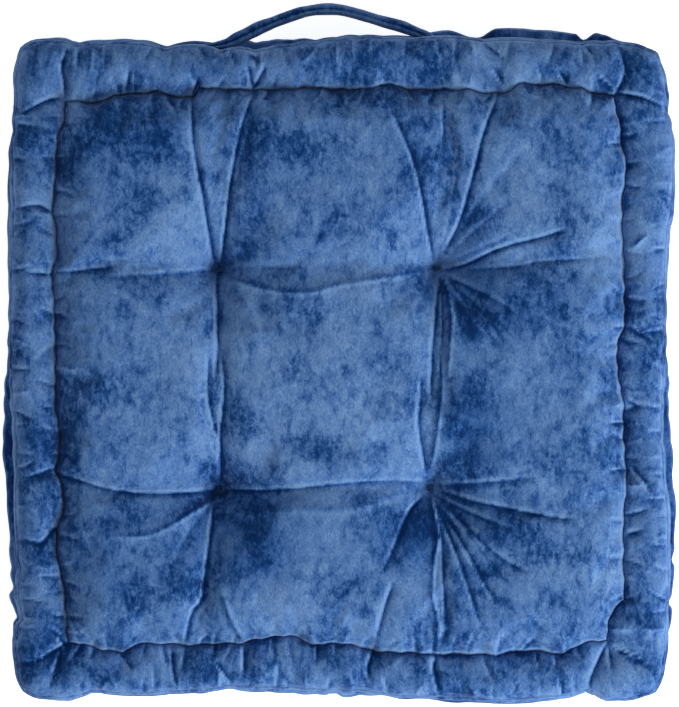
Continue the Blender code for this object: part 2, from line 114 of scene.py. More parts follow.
# The underside, which the weight presses flat
BOTTOM_GROOVE_Z = 0.009
BOTTOM_GROOVE_REACH = 0.006
BOTTOM_TUFT_DEPTH = 0.020
BOTTOM_TUFT_REACH = 0.013
BOTTOM_FLAT_AT = 0.45  # share of the roll's width where it touches the floor
BOTTOM_SPREAD = 0.6  # share of the lower roll's stand-out that the cover's edge takes up
BOTTOM_PAINTED_SHADE_LINE, BOTTOM_PAINTED_SHADE_TUFT = 0.003, 0.010  # reach of the painted shade along its stitches and round its tufts

# How the seams and stitch lines wander: (place along the side, outward shift), millimetres
SEAM_WAVES = {
    "back": ((-230, 0), (-206, -4), (-180, -1), (-159, -2), (-136, -6), (-115, -3), (-93, -8), (-81, -5),
             (-67, -8), (-46, -4), (-20, -1), (16, 3), (51, 2), (85, 3), (109, 0), (128, 1), (181, -2),
             (214, -1), (231, -2)),
    "right": ((-223, -3), (-197, -2), (-162, 0), (-128, 0), (-92, -3), (-58, -5), (-23, -5), (22, -3),
              (75, -3), (109, -1), (127, 2), (161, 4), (186, 2), (201, -2), (214, -1), (231, -2)),
    "front": ((-228, 3), (-197, -3), (-159, -1), (-115, -3), (-89, -6), (-46, -5), (16, -3), (68, 2),
              (120, 4), (172, 1), (195, -4), (203, -1), (225, 4)),
    "left": ((-223, 0), (-205, -2), (-197, -6), (-176, -2), (-155, -4), (-138, -1), (-110, 0), (-72, 0),
             (-41, 1), (-16, 3), (22, 4), (92, 3), (127, 1), (161, 3), (186, 1), (217, -1), (238, 0)),
}
GROOVE_WAVES = {
    "back": ((-213, -14), (-191, -15), (-177, -9), (-143, -6), (-116, -11), (-110, -3), (-68, -5),
             (-23, -3), (8, -5), (37, 0), (56, -5), (100, -5), (120, -8), (136, 0), (168, -1),
             (188, -4), (211, -9)),
    "right": ((-209, -15), (-191, -10), (-180, -1), (-132, -2), (-86, 1), (-25, -2), (11, -7), (32, -1),
              (83, -1), (118, -3), (155, 1), (195, -5), (211, -9)),
    "front": ((-213, -7), (-189, -2), (-170, 1), (-151, -7), (-117, -5), (-75, -7), (-57, -11), (-42, -13),
              (-23, -5), (-5, -7), (25, 0), (69, 2), (121, 2), (145, -1), (172, 2), (204, -9)),
    "left": ((-213, -8), (-181, -6), (-148, 0), (-125, 1), (-102, -5), (-79, 2), (-55, -2), (-34, 1),
             (40, 2), (72, 5), (91, 0), (122, 4), (180, 0), (206, -6)),
}
# How far the lower roll of the gusset stands out past the top seam, with a pinch wherever it drops
LOWER_ROLL_WAVES = {
    "back": ((-230, 0), (-186, 2), (-148, 3), (-109, 5), (-71, 8), (-20, 3), (40, 3), (83, 6), (102, 2),
             (121, 9), (160, 9), (184, 8), (191, 3), (203, 8), (229, 2)),
    "right": ((-240, 1), (-217, 2), (-190, 5), (-185, 2), (-178, 4), (-155, 5), (-150, 3), (-140, 5),
              (-101, 7), (-63, 8), (-25, 6), (14, 2), (91, 2), (129, 2), (206, 2), (237, 0)),
    "front": ((-240, 1), (-217, 3), (-195, 1), (-186, 3), (-148, 3), (-109, 3), (-92, 1), (-80, 3),
              (-12, 3), (-8, 1), (2, 4), (36, 2), (50, 4), (64, 2), (83, 4), (121, 3), (160, 3),
              (190, 1), (229, 0)),
    "left": ((-240, 1), (-205, 3), (-178, 6), (-172, 3), (-160, 6), (-140, 6), (-101, 8), (-63, 10),
             (-25, 7), (14, 3), (52, 1), (91, 3), (129, 4), (168, 3), (206, 1), (237, 0)),
}
# How square each corner of the seam is: 0 is round, 0.4 would be square
CORNER_SQUARENESS = {(-1, 1): 0.17, (1, 1): 0.05, (-1, -1): 0.12, (1, -1): 0.07}

# Folds of the cloth: (height, width, points), millimetres. Below 0 is a crease, above 0 a soft ridge.
# Those of the field start at the tuft that pulls them in.
FIELD_FOLDS = (
    (-3.0, 2.5, ((-98, 82), (-102, 105), (-108, 139), (-114, 172), (-115, 208))),
    (-3.0, 2.5, ((-92, 83), (-89, 109), (-84, 144), (-77, 179), (-67, 212))),
    (-1.4, 4.0, ((-80, 137), (-74, 168), (-66, 200))),
    (-1.6, 2.5, ((-178, 76), (-198, 74), (-223, 73))),
    (-1.4, 3.5, ((-100, 75), (-119, 73), (-148, 70), (-177, 68))),
    (1.3, 3.0, ((-89, 70), (-58, 61), (-28, 58), (0, 64), (25, 68), (69, 76))),
    (-0.9, 4.5, ((-89, 75), (-32, 77), (6, 80))),
    (-3.0, 2.5, ((-96, 71), (-95, 48), (-95, 12), (-96, -8))),
    (-2.4, 2.5, ((-93, -89), (-93, -58), (-92, -45), (-89, -15), (-92, 14))),
    (-2.0, 2.5, ((-94, -55), (-97, -46), (-101, -23), (-102, 14))),
    (1.2, 4.0, ((-82, 62), (-69, 38), (-62, 15))),
    (-2.8, 2.5, ((70, 85), (62, 127), (55, 156), (48, 175), (38, 196))),
    (-1.2, 2.5, ((77, 170), (78, 186), (78, 208))),
    (-2.4, 2.5, ((79, 89), (92, 116), (102, 151), (109, 179), (121, 212))),
    (-1.2, 4.5, ((83, 92), (99, 116), (120, 144), (138, 165))),
    (-0.9, 3.0, ((78, 92), (84, 118), (88, 146), (90, 170))),
    (-0.8, 3.0, ((84, 88), (106, 108), (130, 128))),
    (-0.9, 3.0, ((82, 80), (104, 90), (136, 104))),
    (-3.0, 2.5, ((78, 75), (95, 79), (120, 91), (148, 99), (172, 106))),
    (-1.0, 2.5, ((95, 75), (134, 77), (151, 80), (198, 84))),
    (-1.8, 3.0, ((80, 70), (112, 54), (134, 40))),
    (1.4, 3.0, ((77, 68), (95, 40), (109, 22))),
    (-1.1, 3.0, ((82, 66), (108, 42), (126, 18))),
    (-1.0, 3.0, ((77, 64), (88, 40), (94, 16))),
    (-1.5, 2.0, ((76, 66), (77, 42), (76, 12), (74, -16))),
    (-3.0, 2.5, ((75, 69), (73, 48), (69, 12), (68, -25))),
    (2.0, 2.5, ((78, 68), (83, 40), (82, 12), (80, -6))),
    (1.6, 2.5, ((67, -78), (71, -58), (75, -23), (75, 12))),
    (-2.2, 2.5, ((65, -81), (62, -63), (59, -41), (61, -6))),
    (-2.2, 2.5, ((-100, -95), (-141, -97), (-169, -95), (-198, -88), (-220, -81))),
    (1.8, 3.0, ((-98, -99), (-115, -110), (-135, -122), (-152, -128), (-176, -128))),
    (-1.8, 2.5, ((-89, -94), (-55, -94), (-2, -89), (33, -87), (63, -88))),
    (1.2, 4.5, ((62, -92), (38, -98), (16, -105), (-2, -108), (-38, -108), (-75, -110))),
    (-2.6, 2.5, ((-98, -105), (-103, -145), (-107, -176), (-115, -188), (-121, -214))),
    (1.6, 3.0, ((-92, -172), (-85, -193), (-75, -212))),
    (-1.2, 2.5, ((-210, -188), (-204, -200), (-194, -209))),
    (-0.9, 3.5, ((-99, -104), (-118, -128), (-132, -156))),
    (-2.6, 2.5, ((63, -99), (52, -110), (42, -132), (33, -153))),
    (-2.2, 2.5, ((39, -164), (32, -185), (26, -212))),
    (2.2, 2.5, ((68, -102), (73, -128), (70, -145), (68, -171), (73, -197), (71, -221))),
    (-1.8, 2.5, ((72, -102), (77, -136), (78, -162), (80, -197), (78, -212))),
    (-2.0, 2.5, ((73, -106), (88, -141), (102, -181), (107, -197))),
    (-2.0, 2.5, ((77, -110), (95, -138), (113, -171), (117, -177))),
    (-2.2, 3.2, ((80, -106), (102, -128), (120, -145), (142, -157))),
    (-2.4, 3.0, ((75, -95), (102, -103), (138, -110), (179, -117))),
    (-2.0, 3.0, ((73, -99), (95, -110), (127, -124))),
    (-1.8, 3.0, ((74, -91), (102, -89), (146, -84))),
    (-0.9, 3.0, ((84, -112), (104, -136), (126, -168))),
)
# Broad hollows between the tufts, and from them to the rolled edge
FIELD_HOLLOWS = (
    (-4.0, 14, ((-95, 75), (-95, -95))),
    (-4.0, 14, ((73, 77), (68, -92))),
    (-2.5, 14, ((-95, 75), (73, 77))),
    (-2.5, 14, ((-95, -95), (68, -92))),
    (-2.5, 14, ((-95, 75), (-95, 212))),
    (-2.0, 14, ((73, 77), (73, 212))),
    (-2.0, 12, ((-95, 75), (-222, 73))),
    (-2.5, 14, ((73, 77), (215, 85))),
    (-3.0, 14, ((-95, -95), (-222, -82))),
    (-2.5, 14, ((-95, -95), (-110, -212))),
    (-2.0, 14, ((68, -92), (215, -105))),
    (-2.5, 14, ((68, -92), (72, -215))),
)
# Pleats across the roll, from its stitch line out to the seam: (height, points), millimetres
ROLL_PLEATS = (
    (-3.0, ((-213, 208), (-213, 219), (-215, 231), (-211, 245))),
    (-1.6, ((-165, 214), (-163, 231))),
    (-2.0, ((-115, 209), (-110, 223))),
    (-2.2, ((-68, 214), (-72, 233))),
    (-2.2, ((-68, 214), (-58, 233))),
    (-1.8, ((-72, 241), (-67, 238), (-65, 231))),
    (-2.0, ((109, 250), (120, 241), (127, 235))),
    (-1.8, ((125, 218), (116, 232))),
    (-1.6, ((174, 218), (167, 229))),
    (-1.6, ((188, 247), (195, 238))),
    (-1.6, ((208, 213), (195, 225))),
    (-2.8, ((211, 211), (217, 223), (217, 235), (213, 246))),
    (-2.6, ((211, 211), (229, 208), (246, 201))),
    (1.4, ((222, 92), (234, 103))),
    (-1.6, ((221, 31), (241, 19))),
    (-1.4, ((219, -25), (231, -31))),
    (-1.8, ((222, -75), (232, -86), (238, -96))),
    (-1.4, ((219, -128), (231, -125))),
    (-2.8, ((204, -211), (196, -228), (191, -240), (192, -248))),
    (-2.4, ((205, -213), (227, -225), (241, -229))),
    (-1.8, ((205, -215), (208, -233))),
    (-2.8, ((-214, -213), (-232, -224), (-248, -228))),
    (-2.0, ((-212, -215), (-218, -206), (-226, -200))),
    (-2.2, ((-215, -217), (-221, -235), (-223, -245))),
    (-2.8, ((-215, 208), (-228, 205), (-246, 195))),
    (-1.8, ((-223, 119), (-234, 125), (-251, 122))),
    (-1.8, ((-225, 72), (-243, 73))),
    (-1.8, ((-222, -78), (-243, -85))),
    (-2.0, ((-221, -124), (-232, -135), (-246, -131))),
    (-1.8, ((-131, -215), (-129, -235), (-126, -245))),
    (-1.6, ((-96, -226), (-85, -241))),
    (-2.2, ((-75, -214), (-75, -235))),
    (-1.4, ((-169, -221), (-160, -232))),
    (-2.2, ((26, -213), (20, -231), (23, -241))),
    (-2.2, ((72, -221), (71, -232), (75, -249))),
)

# Patches painted darker or lighter, partly the pile's own patches and partly painted shade on the sides of the
# tufts that face away from the key light: (x, y, radius, tone), millimetres
PILE_AND_SHADE_PATCHES = (
    (55, -132, 13, -1.6), (106, -42, 26, -1.0), (120, -118, 12, -0.9),
    (-85, 80, 16, -0.8), (100, 66, 20, -1.2), (150, 50, 16, -0.6), (98, 30, 12, -0.6), (95, -40, 14, -0.6),
    (-85, -118, 24, -1.1), (-60, -145, 20, -0.7), (75, -122, 18, -0.7), (-140, 195, 22, -0.7),
    (-190, 165, 14, -0.6), (-215, 160, 8, -0.6), (219, 150, 7, -0.7), (219, 60, 7, -0.7), (218, 0, 7, -0.5),
    (-215, -225, 14, -0.7), (-170, -226, 12, -0.6), (-190, -140, 14, -0.6), (-150, -125, 14, -0.5),
    (-100, 237, 12, -0.6), (40, 245, 12, -0.5), (-130, 110, 26, 0.5), (-110, 0, 26, 0.5), (-30, 0, 34, 0.6),
    (30, -40, 30, 0.6), (20, 70, 26, 0.4), (150, 130, 26, 0.5), (190, 110, 20, 0.5), (180, -150, 26, 0.4),
    (150, -60, 22, 0.4), (-60, -190, 24, 0.5), (-70, -60, 18, 0.4),
)


# Places on the cloth


def eased(share):
    return share * share * (3.0 - 2.0 * share)


def along_side(waves, at, pinch=0):
    """Curve through (place, shift) pairs in millimetres, read at places in metres.

    With pinch 1 it comes to a point wherever it is furthest out, and with -1 wherever furthest in.
    """
    places = np.array([pair[0] for pair in waves]) * MM
    shifts = np.array([pair[1] for pair in waves]) * MM
    k = np.clip(np.searchsorted(places, at) - 1, 0, len(places) - 2)
    share = np.clip((at - places[k]) / (places[k + 1] - places[k]), 0.0, 1.0)
    if pinch:
        share = np.where((shifts[k + 1] - shifts[k]) * pinch > 0, share**2, 1.0 - (1.0 - share) ** 2)
    else:
        share = eased(share)
    return shifts[k] + share * (shifts[k + 1] - shifts[k])


def square_reach(u, v):
    """How far out a point of the plain square lies: half the side of the square it is on the edge of."""
    return np.maximum(np.abs(u), np.abs(v))


def past_roll_start(u, v):
    """How far a point lies past the inner edge of the roll, along u and along v."""
    return np.maximum(np.abs(u) - ROLL_START, 0.0), np.maximum(np.abs(v) - ROLL_START, 0.0)


def from_tuft(tuft, x, y):
    return np.hypot(x - tuft.x, y - tuft.y)


def outward_way(u, v):
    """Unit vector that points outwards over the plain square, turning round its corners."""
    a, b = past_roll_start(u, v)
    angle = np.arctan2(np.minimum(a, b), np.maximum(np.maximum(a, b), 1e-9))
    angle = np.where(np.abs(u) >= np.abs(v), angle, math.pi / 2 - angle)
    return np.sign(u) * np.cos(angle), np.sign(v) * np.sin(angle)


def place(u, v, stand_out=0.0, wavy=1.0):
    """Moves points of the plain square onto the wavy, round-cornered outline of the cushion."""
    a, b = past_roll_start(u, v)
    reach = np.maximum(a, b)
    angle = math.pi / 4 * np.minimum(a, b) / np.maximum(reach, 1e-9)
    angle = np.where(a >= b, angle, math.pi / 2 - angle)
    square = sum(
        amount * (np.sign(u) == sx) * (np.sign(v) == sy) for (sx, sy), amount in CORNER_SQUARENESS.items()
    )
    reach = reach * (1.0 + square * np.sin(2 * angle) ** 2)
    in_corner = (a > 0) & (b > 0)
    x = np.where(in_corner, np.sign(u) * (ROLL_START + reach * np.cos(angle)), u)
    y = np.where(in_corner, np.sign(v) * (ROLL_START + reach * np.sin(angle)), v)
    x = x + wavy * (wandering("right", u, v) - wandering("left", -u, v))
    y = y + wavy * (wandering("back", v, u) - wandering("front", -v, u))
    way_x, way_y = outward_way(u, v)
    return x + way_x * stand_out, y + way_y * stand_out


def wandering(side, outward, along):
    """Outward shift of one side's stitch line and seam, fading towards the middle of the cushion."""
    scallop = np.abs(np.sin(math.pi * along / SCALLOP_LENGTH + 2.0 * np.sin(along / SCALLOP_DRIFT)))
    lump = np.abs(np.sin(math.pi * along / LUMP_LENGTH + 3.0 * np.sin(along / LUMP_DRIFT + outward)))
    groove = along_side(GROOVE_WAVES[side], along, pinch=1) - SCALLOP_DEPTH * scallop
    seam = along_side(SEAM_WAVES[side], along, pinch=-1) + LUMP_DEPTH * (lump - 0.6)
    inside = np.clip(outward / ROLL_START, 0.0, 1.0) ** 8
    across = np.clip((outward - ROLL_START) / ROLL_WIDTH, 0.0, 1.1)
    return inside * groove + across * (seam - groove)


def lower_roll_stand_out(u, v):
    """How far the lower roll stands out past the top seam, all the way round."""
    total = 0.0
    weight = 0.0
    for side, outward, along in (("right", u, v), ("left", -u, v), ("back", v, u), ("front", -v, u)):
        share = np.clip((outward - np.abs(along)) / CORNER_BLEND + 0.5, 0.0, 1.0) + 1e-6
        total = total + share * along_side(LOWER_ROLL_WAVES[side], along)
        weight = weight + share
    return total / weight + LOWER_ROLL_SPREAD


def within_square(corners, share_x, share_y):
    """Value inside a grid square, from those at its low left, low right, high left and high right."""
    low = corners[0] * (1 - share_x) + corners[1] * share_x
    high = corners[2] * (1 - share_x) + corners[3] * share_x
    return low * (1 - share_y) + high * share_y


def soft_noise(x, y, size):
    """Smooth random hills between -1 and 1, each about size metres across."""
    count = int(1.2 / size) + 3
    lattice = RANDOM.uniform(-1.0, 1.0, (count, count))
    i, j = np.floor(x / size).astype(int), np.floor(y / size).astype(int)
    share_x, share_y = eased(x / size - i), eased(y / size - j)
    i, j, after_i, after_j = i % count, j % count, (i + 1) % count, (j + 1) % count
    corners = lattice[i, j], lattice[after_i, j], lattice[i, after_j], lattice[after_i, after_j]
    return within_square(corners, share_x, share_y)


def nearest_on(route, x, y):
    """Distance of each point to a route, how far along that is, and where."""
    nearest = np.full(x.shape, 1.0)
    passed, at_x, at_y = np.zeros((3, *x.shape))
    start = 0.0
    for first, second in zip(route, route[1:]):
        length = math.dist(first, second)
        way = (second - first) / length
        along = np.clip((x - first[0]) * way[0] + (y - first[1]) * way[1], 0.0, length)
        line_x = first[0] + along * way[0]
        line_y = first[1] + along * way[1]
        away = np.hypot(x - line_x, y - line_y)
        closer = away < nearest
        nearest = np.where(closer, away, nearest)
        passed = np.where(closer, start + along, passed)
        at_x = np.where(closer, line_x, at_x)
        at_y = np.where(closer, line_y, at_y)
        start += length
    return nearest, passed / start, at_x, at_y


def smooth_route(points):
    """Millimetre points joined by a smooth curve, in metres."""
    known = np.array(points, dtype=float) * MM
    if len(known) == 2:
        return known
    padded = np.vstack([2 * known[0] - known[1], known, 2 * known[-1] - known[-2]])
    curve = []
    for a, b, c, d in zip(padded, padded[1:], padded[2:], padded[3:]):
        for t in np.linspace(0.0, 1.0, 5)[:-1]:
            cubic = 2 * a - 5 * b + 4 * c - d + t * (3 * (b - c) + d - a)
            curve.append(b + 0.5 * t * (c - a + t * cubic))
    return np.array(curve + [known[-1]])


def near_route(route, x, y, margin):
    """Which points lie inside the route's box, widened by a margin."""
    low = route.min(axis=0) - margin
    high = route.max(axis=0) + margin
    return (x > low[0]) & (x < high[0]) & (y > low[1]) & (y < high[1])


def drawn_to_folds(x, y, spacing, folds):
    """Moves the grid's points nearest to each fold onto its line, so that the line is sharp."""
    best = np.full(x.shape, spacing)
    new_x, new_y = x.copy(), y.copy()
    for _, _, points in folds:
        route = smooth_route(points)
        near = near_route(route, x, y, spacing)
        away, _, at_x, at_y = nearest_on(route, x[near], y[near])
        shift = np.maximum(np.abs(x[near] - at_x), np.abs(y[near] - at_y))
        closer = (away < best[near]) & (away**2 <= 0.5 * spacing * shift)
        best[near] = np.where(closer, away, best[near])
        new_x[near] = np.where(closer, at_x, new_x[near])
        new_y[near] = np.where(closer, at_y, new_y[near])
    return new_x, new_y, best < spacing


FOLD_FADE = 0.014  # how far from its ends a fold takes to reach its full strength
# The fold's painted light: a painted highlight on the wall facing the key light, painted shade on the other
# wall and along the crease
DEEP_FOLD = 4.0  # height in millimetres from which a fold is as dark as it gets
NARROW_FOLD = 2.5
PAINTED_LIT_WALL, PAINTED_SHADED_WALL, PAINTED_CREASE_SHADE = 2.3, -0.8, 2.4


def add_fold(z, painted_light_and_pile_tone, x, y, height, width, points):
    """Adds one fold to the heights, and its painted highlight and painted shade to the tone: a sharp line,
    fading along it.
    """
    route = smooth_route(points)
    near = near_route(route, x, y, 8 * width * MM)
    away, share, at_x, at_y = nearest_on(route, x[near], y[near])
    length = sum(math.dist(a, b) for a, b in zip(route, route[1:]))
    from_end = np.minimum(share, 1.0 - share) * length
    strength = np.clip(0.3 + from_end / min(FOLD_FADE, length / 3), 0.0, 1.0) * (1.0 - 0.4 * share)
    narrow = np.exp(-away / (width * MM))
    broad = np.exp(-((away / (3.5 * width * MM)) ** 2))
    z[near] += height * MM * strength * (0.62 * narrow + 0.38 * broad)
    # Painted light: a painted highlight on the wall that faces right or front, towards the key light, and
    # painted shade on the other wall and in the crease line
    facing = np.sign(height) * ((x[near] - at_x) - (y[near] - at_y)) > 0
    line = np.exp(-((away / (0.5 * width * MM)) ** 2))
    wall = np.exp(-(((away - 0.8 * width * MM) / (0.5 * width * MM)) ** 2))
    depth = min(abs(height) / DEEP_FOLD, 1.0) * min(NARROW_FOLD / width, 1.0)
    painted_light_and_pile_tone[near] += strength * depth * (np.where(facing, PAINTED_LIT_WALL, PAINTED_SHADED_WALL) * wall - PAINTED_CREASE_SHADE * line)


def hollow_height(x, y, height, width, points):
    """Height that one broad hollow adds along a straight line."""
    first, second = np.array(points) * MM
    length = np.linalg.norm(second - first)
    way = (second - first) / length
    along = np.clip((x - first[0]) * way[0] + (y - first[1]) * way[1], 0.0, length)
    away = np.hypot(x - first[0] - along * way[0], y - first[1] - along * way[1])
    return height * MM * np.exp(-((away / (width * MM)) ** 2))


def roll_height(reach, base, height):
    """Height of the roll's rounded back above a point reach metres from the middle."""
    across = np.clip((reach - ROLL_MIDDLE) / ROLL_HALF_WIDTH, -1.0, 1.0)
    lift = (GROOVE_Z - ROLL_BASE_Z) * (1.0 - across) / 2
    return base + lift + (height - lift) * (1.0 - np.abs(across) ** 2.3) ** 0.5


STITCH_PUCKER_REACH = 0.009
SEAM_PUCKER_REACH = 0.007
FINE_PUCKER, COARSE_PUCKER = (0.0016, 0.009), (0.0030, 0.023)  # (height, size), metres
# Puckers get painted light and shade: lighter where raised, darker where sunk
PUCKER_PAINTED_LIGHT = 220.0  # tone for each metre of a pucker's height


def gathers(u, v, x, y):
    """Small puckers that the stitching and the seam draw into the cloth beside them."""
    reach = square_reach(u, v)
    beside_stitches = np.exp(-np.abs(reach - GROOVE_LINE) / STITCH_PUCKER_REACH)
    beside_seam = np.exp(-np.abs(reach - SEAM_LINE) / SEAM_PUCKER_REACH)
    along = np.where(np.abs(u) > np.abs(v), y, x)
    other = np.where(np.abs(u) > np.abs(v), np.sign(u), 3.0 * np.sign(v))
    fine = FINE_PUCKER[0] * soft_noise(along, 0.02 * other, FINE_PUCKER[1])
    coarse = COARSE_PUCKER[0] * soft_noise(along, 0.02 * other + 0.1, COARSE_PUCKER[1])
    return (beside_stitches + 0.8 * beside_seam) * (fine + coarse)


# Painted highlight and painted shade across the stitch line
STITCH_PAINTED_LIGHT = (  # across the stitch line: (tone, distance past it, width), metres
    (1.3, -0.0018, 0.0011), (-0.7, 0.0020, 0.0016), (-0.9, 0.0, 0.0008),
)


def stitch_line_painted_light(u, v, reach):
    """Painted light along the stitch line: painted shade in and beside the line, with a painted highlight on
    the wall that faces right or front, towards the key light.
    """
    facing = np.where(np.abs(u) > np.abs(v), np.sign(u), -np.sign(v))
    along = np.where(np.abs(u) > np.abs(v), v, u)
    past = facing * (reach - GROOVE_LINE)
    strength = 1.0 + 0.5 * soft_noise(along, 0.02 * facing, 0.03)
    bands = sum(amount * np.exp(-(((past - at) / width) ** 2)) for amount, at, width in STITCH_PAINTED_LIGHT)
    return strength * bands


def grid_lines(inner_count, roll_count):
    """Places of the grid's lines across the square: even inside, closer over the round of the roll."""
    turn = np.linspace(0.0, math.pi, roll_count + 1)
    roll = ROLL_MIDDLE - ROLL_HALF_WIDTH * np.cos(turn)
    inner = np.linspace(-GROOVE_LINE, GROOVE_LINE, inner_count + 1)[1:-1]
    return np.concatenate([-roll[::-1], inner, roll])


def field_base(x, y, reach):
    """Height of the filled field before its folds: crowned cells, pulled in at tufts and stitch line."""
    from_groove = (GROOVE_LINE - reach).clip(0.0)
    fall = 0.45 * np.exp(-from_groove / LIP_REACH) + 0.55 * np.exp(-from_groove / SHOULDER_REACH)
    height = CROWN_Z - (CROWN_Z - GROOVE_Z) * fall
    for tuft in TUFTS:
        away = from_tuft(tuft, x, y)
        height -= TUFT_DEPTH * np.exp(-away / TUFT_REACH)
    for hollow in FIELD_HOLLOWS:
        height += hollow_height(x, y, *hollow)
    return height


def inflated_field():
    """How far each point of a coarse sheet moves when the filling presses it out between its stitches."""
    lines = np.linspace(-GROOVE_LINE, GROOVE_LINE, CLOTH_STEPS + 1)
    u, v = np.meshgrid(lines, lines)
    x, y = place(u, v)
    reach = square_reach(u, v)
    start = np.stack([x, y, field_base(x, y, reach)], axis=-1)
    sheet = grid_piece("field_sheet", start, None)
    held = reach.reshape(-1) > GROOVE_LINE - 0.001
    for tuft in TUFTS:
        held |= from_tuft(tuft, x, y).reshape(-1) < CLOTH_HOLD
    pins = sheet.vertex_groups.new(name="held")
    pins.add(np.flatnonzero(held).tolist(), 1.0, "REPLACE")
    settings = sheet.modifiers.new("filling", "CLOTH").settings
    settings.vertex_group_mass = pins.name
    settings.quality = 6
    settings.mass = 0.25
    settings.tension_stiffness = 12.0
    settings.compression_stiffness = 12.0
    settings.shear_stiffness = 4.0
    settings.bending_stiffness = 0.2
    settings.shrink_min = -CLOTH_SLACK
    settings.use_pressure = True
    settings.uniform_pressure_force = CLOTH_PRESSURE
    settings.effector_weights.gravity = 0.0
    scene = bpy.context.scene
    for step in range(1, CLOTH_FRAMES + 1):
        scene.frame_set(step)
    pressed = sheet.evaluated_get(bpy.context.evaluated_depsgraph_get()).to_mesh()
    places = np.empty(len(pressed.vertices) * 3)
    pressed.vertices.foreach_get("co", places)
    moved = places.reshape(start.shape) - start
    scene.frame_set(1)
    mesh = sheet.data
    bpy.data.objects.remove(sheet, do_unlink=True)
    bpy.data.meshes.remove(mesh)
    length = np.linalg.norm(moved, axis=-1, keepdims=True)
    return moved * np.minimum(1.0, CLOTH_CAP / np.maximum(length, 1e-9))


def on_field(moved, u, v):
    """The coarse sheet's movement, read at points of the fine grid."""
    count = moved.shape[0] - 1
    gx = np.clip((u + GROOVE_LINE) / (2 * GROOVE_LINE), 0.0, 1.0) * count
    gy = np.clip((v + GROOVE_LINE) / (2 * GROOVE_LINE), 0.0, 1.0) * count
    i = np.minimum(gx.astype(int), count - 1)
    j = np.minimum(gy.astype(int), count - 1)
    corners = moved[j, i], moved[j, i + 1], moved[j + 1, i], moved[j + 1, i + 1]
    return within_square(corners, (gx - i)[..., None], (gy - j)[..., None])


# Small pleats, each drawn between these limits: metres for places, millimetres for heights and widths
PLEATS_UP_TO = 0.205  # how far from the middle of a side they run
PLEAT_LENGTHS = (0.008, 0.018)
PLEAT_SPACINGS = (0.009, 0.024)
PLEAT_SLANT = 0.005
CREASE_SHARE = 0.7
CREASE_DEPTHS, RIDGE_HEIGHTS = (0.8, 3.4), (0.8, 2.2)
SMALL_PLEAT_WIDTHS = (1.8, 3.2)


def small_pleats():
    """Short pleats at uneven spacing along the stitch line and the seam, as millimetre folds."""
    pleats = []
    for start_reach, way in ((GROOVE_LINE, 1), (GROOVE_LINE, -1), (SEAM_LINE, -1)):
        for across, sign in (("u", 1), ("u", -1), ("v", 1), ("v", -1)):
            along = -PLEATS_UP_TO
            while along < PLEATS_UP_TO:
                reach = start_reach + way * RANDOM.uniform(*PLEAT_LENGTHS)
                slant = RANDOM.normal(0.0, PLEAT_SLANT)
                middle = (start_reach + reach) / 2
                ends = np.array((start_reach, middle, reach))
                places = along + slant * np.array((0.0, 0.35, 1.0))
                u, v = (sign * ends, places) if across == "u" else (places, sign * ends)
                x, y = place(u, v)
                if RANDOM.random() < CREASE_SHARE:
                    height = -RANDOM.uniform(*CREASE_DEPTHS)
                else:
                    height = RANDOM.uniform(*RIDGE_HEIGHTS)
                pleats.append((height, RANDOM.uniform(*SMALL_PLEAT_WIDTHS), tuple(zip(x / MM, y / MM))))
                along += RANDOM.uniform(*PLEAT_SPACINGS)
    return pleats


STAR_HEIGHT = 0.0011
STAR_CENTRE = 0.006  # distance from the tuft at which its gathers reach their full height
STAR_REACH = 0.016


def star_pleats(x, y):
    """Small pleats that gather the cloth towards each tuft."""
    total = np.zeros(x.shape)
    for tuft in TUFTS:
        away = from_tuft(tuft, x, y)
        angle = np.arctan2(y - tuft.y, x - tuft.x)
        start, skew = RANDOM.uniform(0.0, 2 * math.pi, 2)
        wave = np.sin(9 * angle + start + 1.2 * np.sin(3 * angle + skew)) + 0.6 * np.sin(14 * angle + skew)
        total += STAR_HEIGHT * wave * (away / STAR_CENTRE).clip(0.0, 1.0) * np.exp(-away / STAR_REACH)
    return total


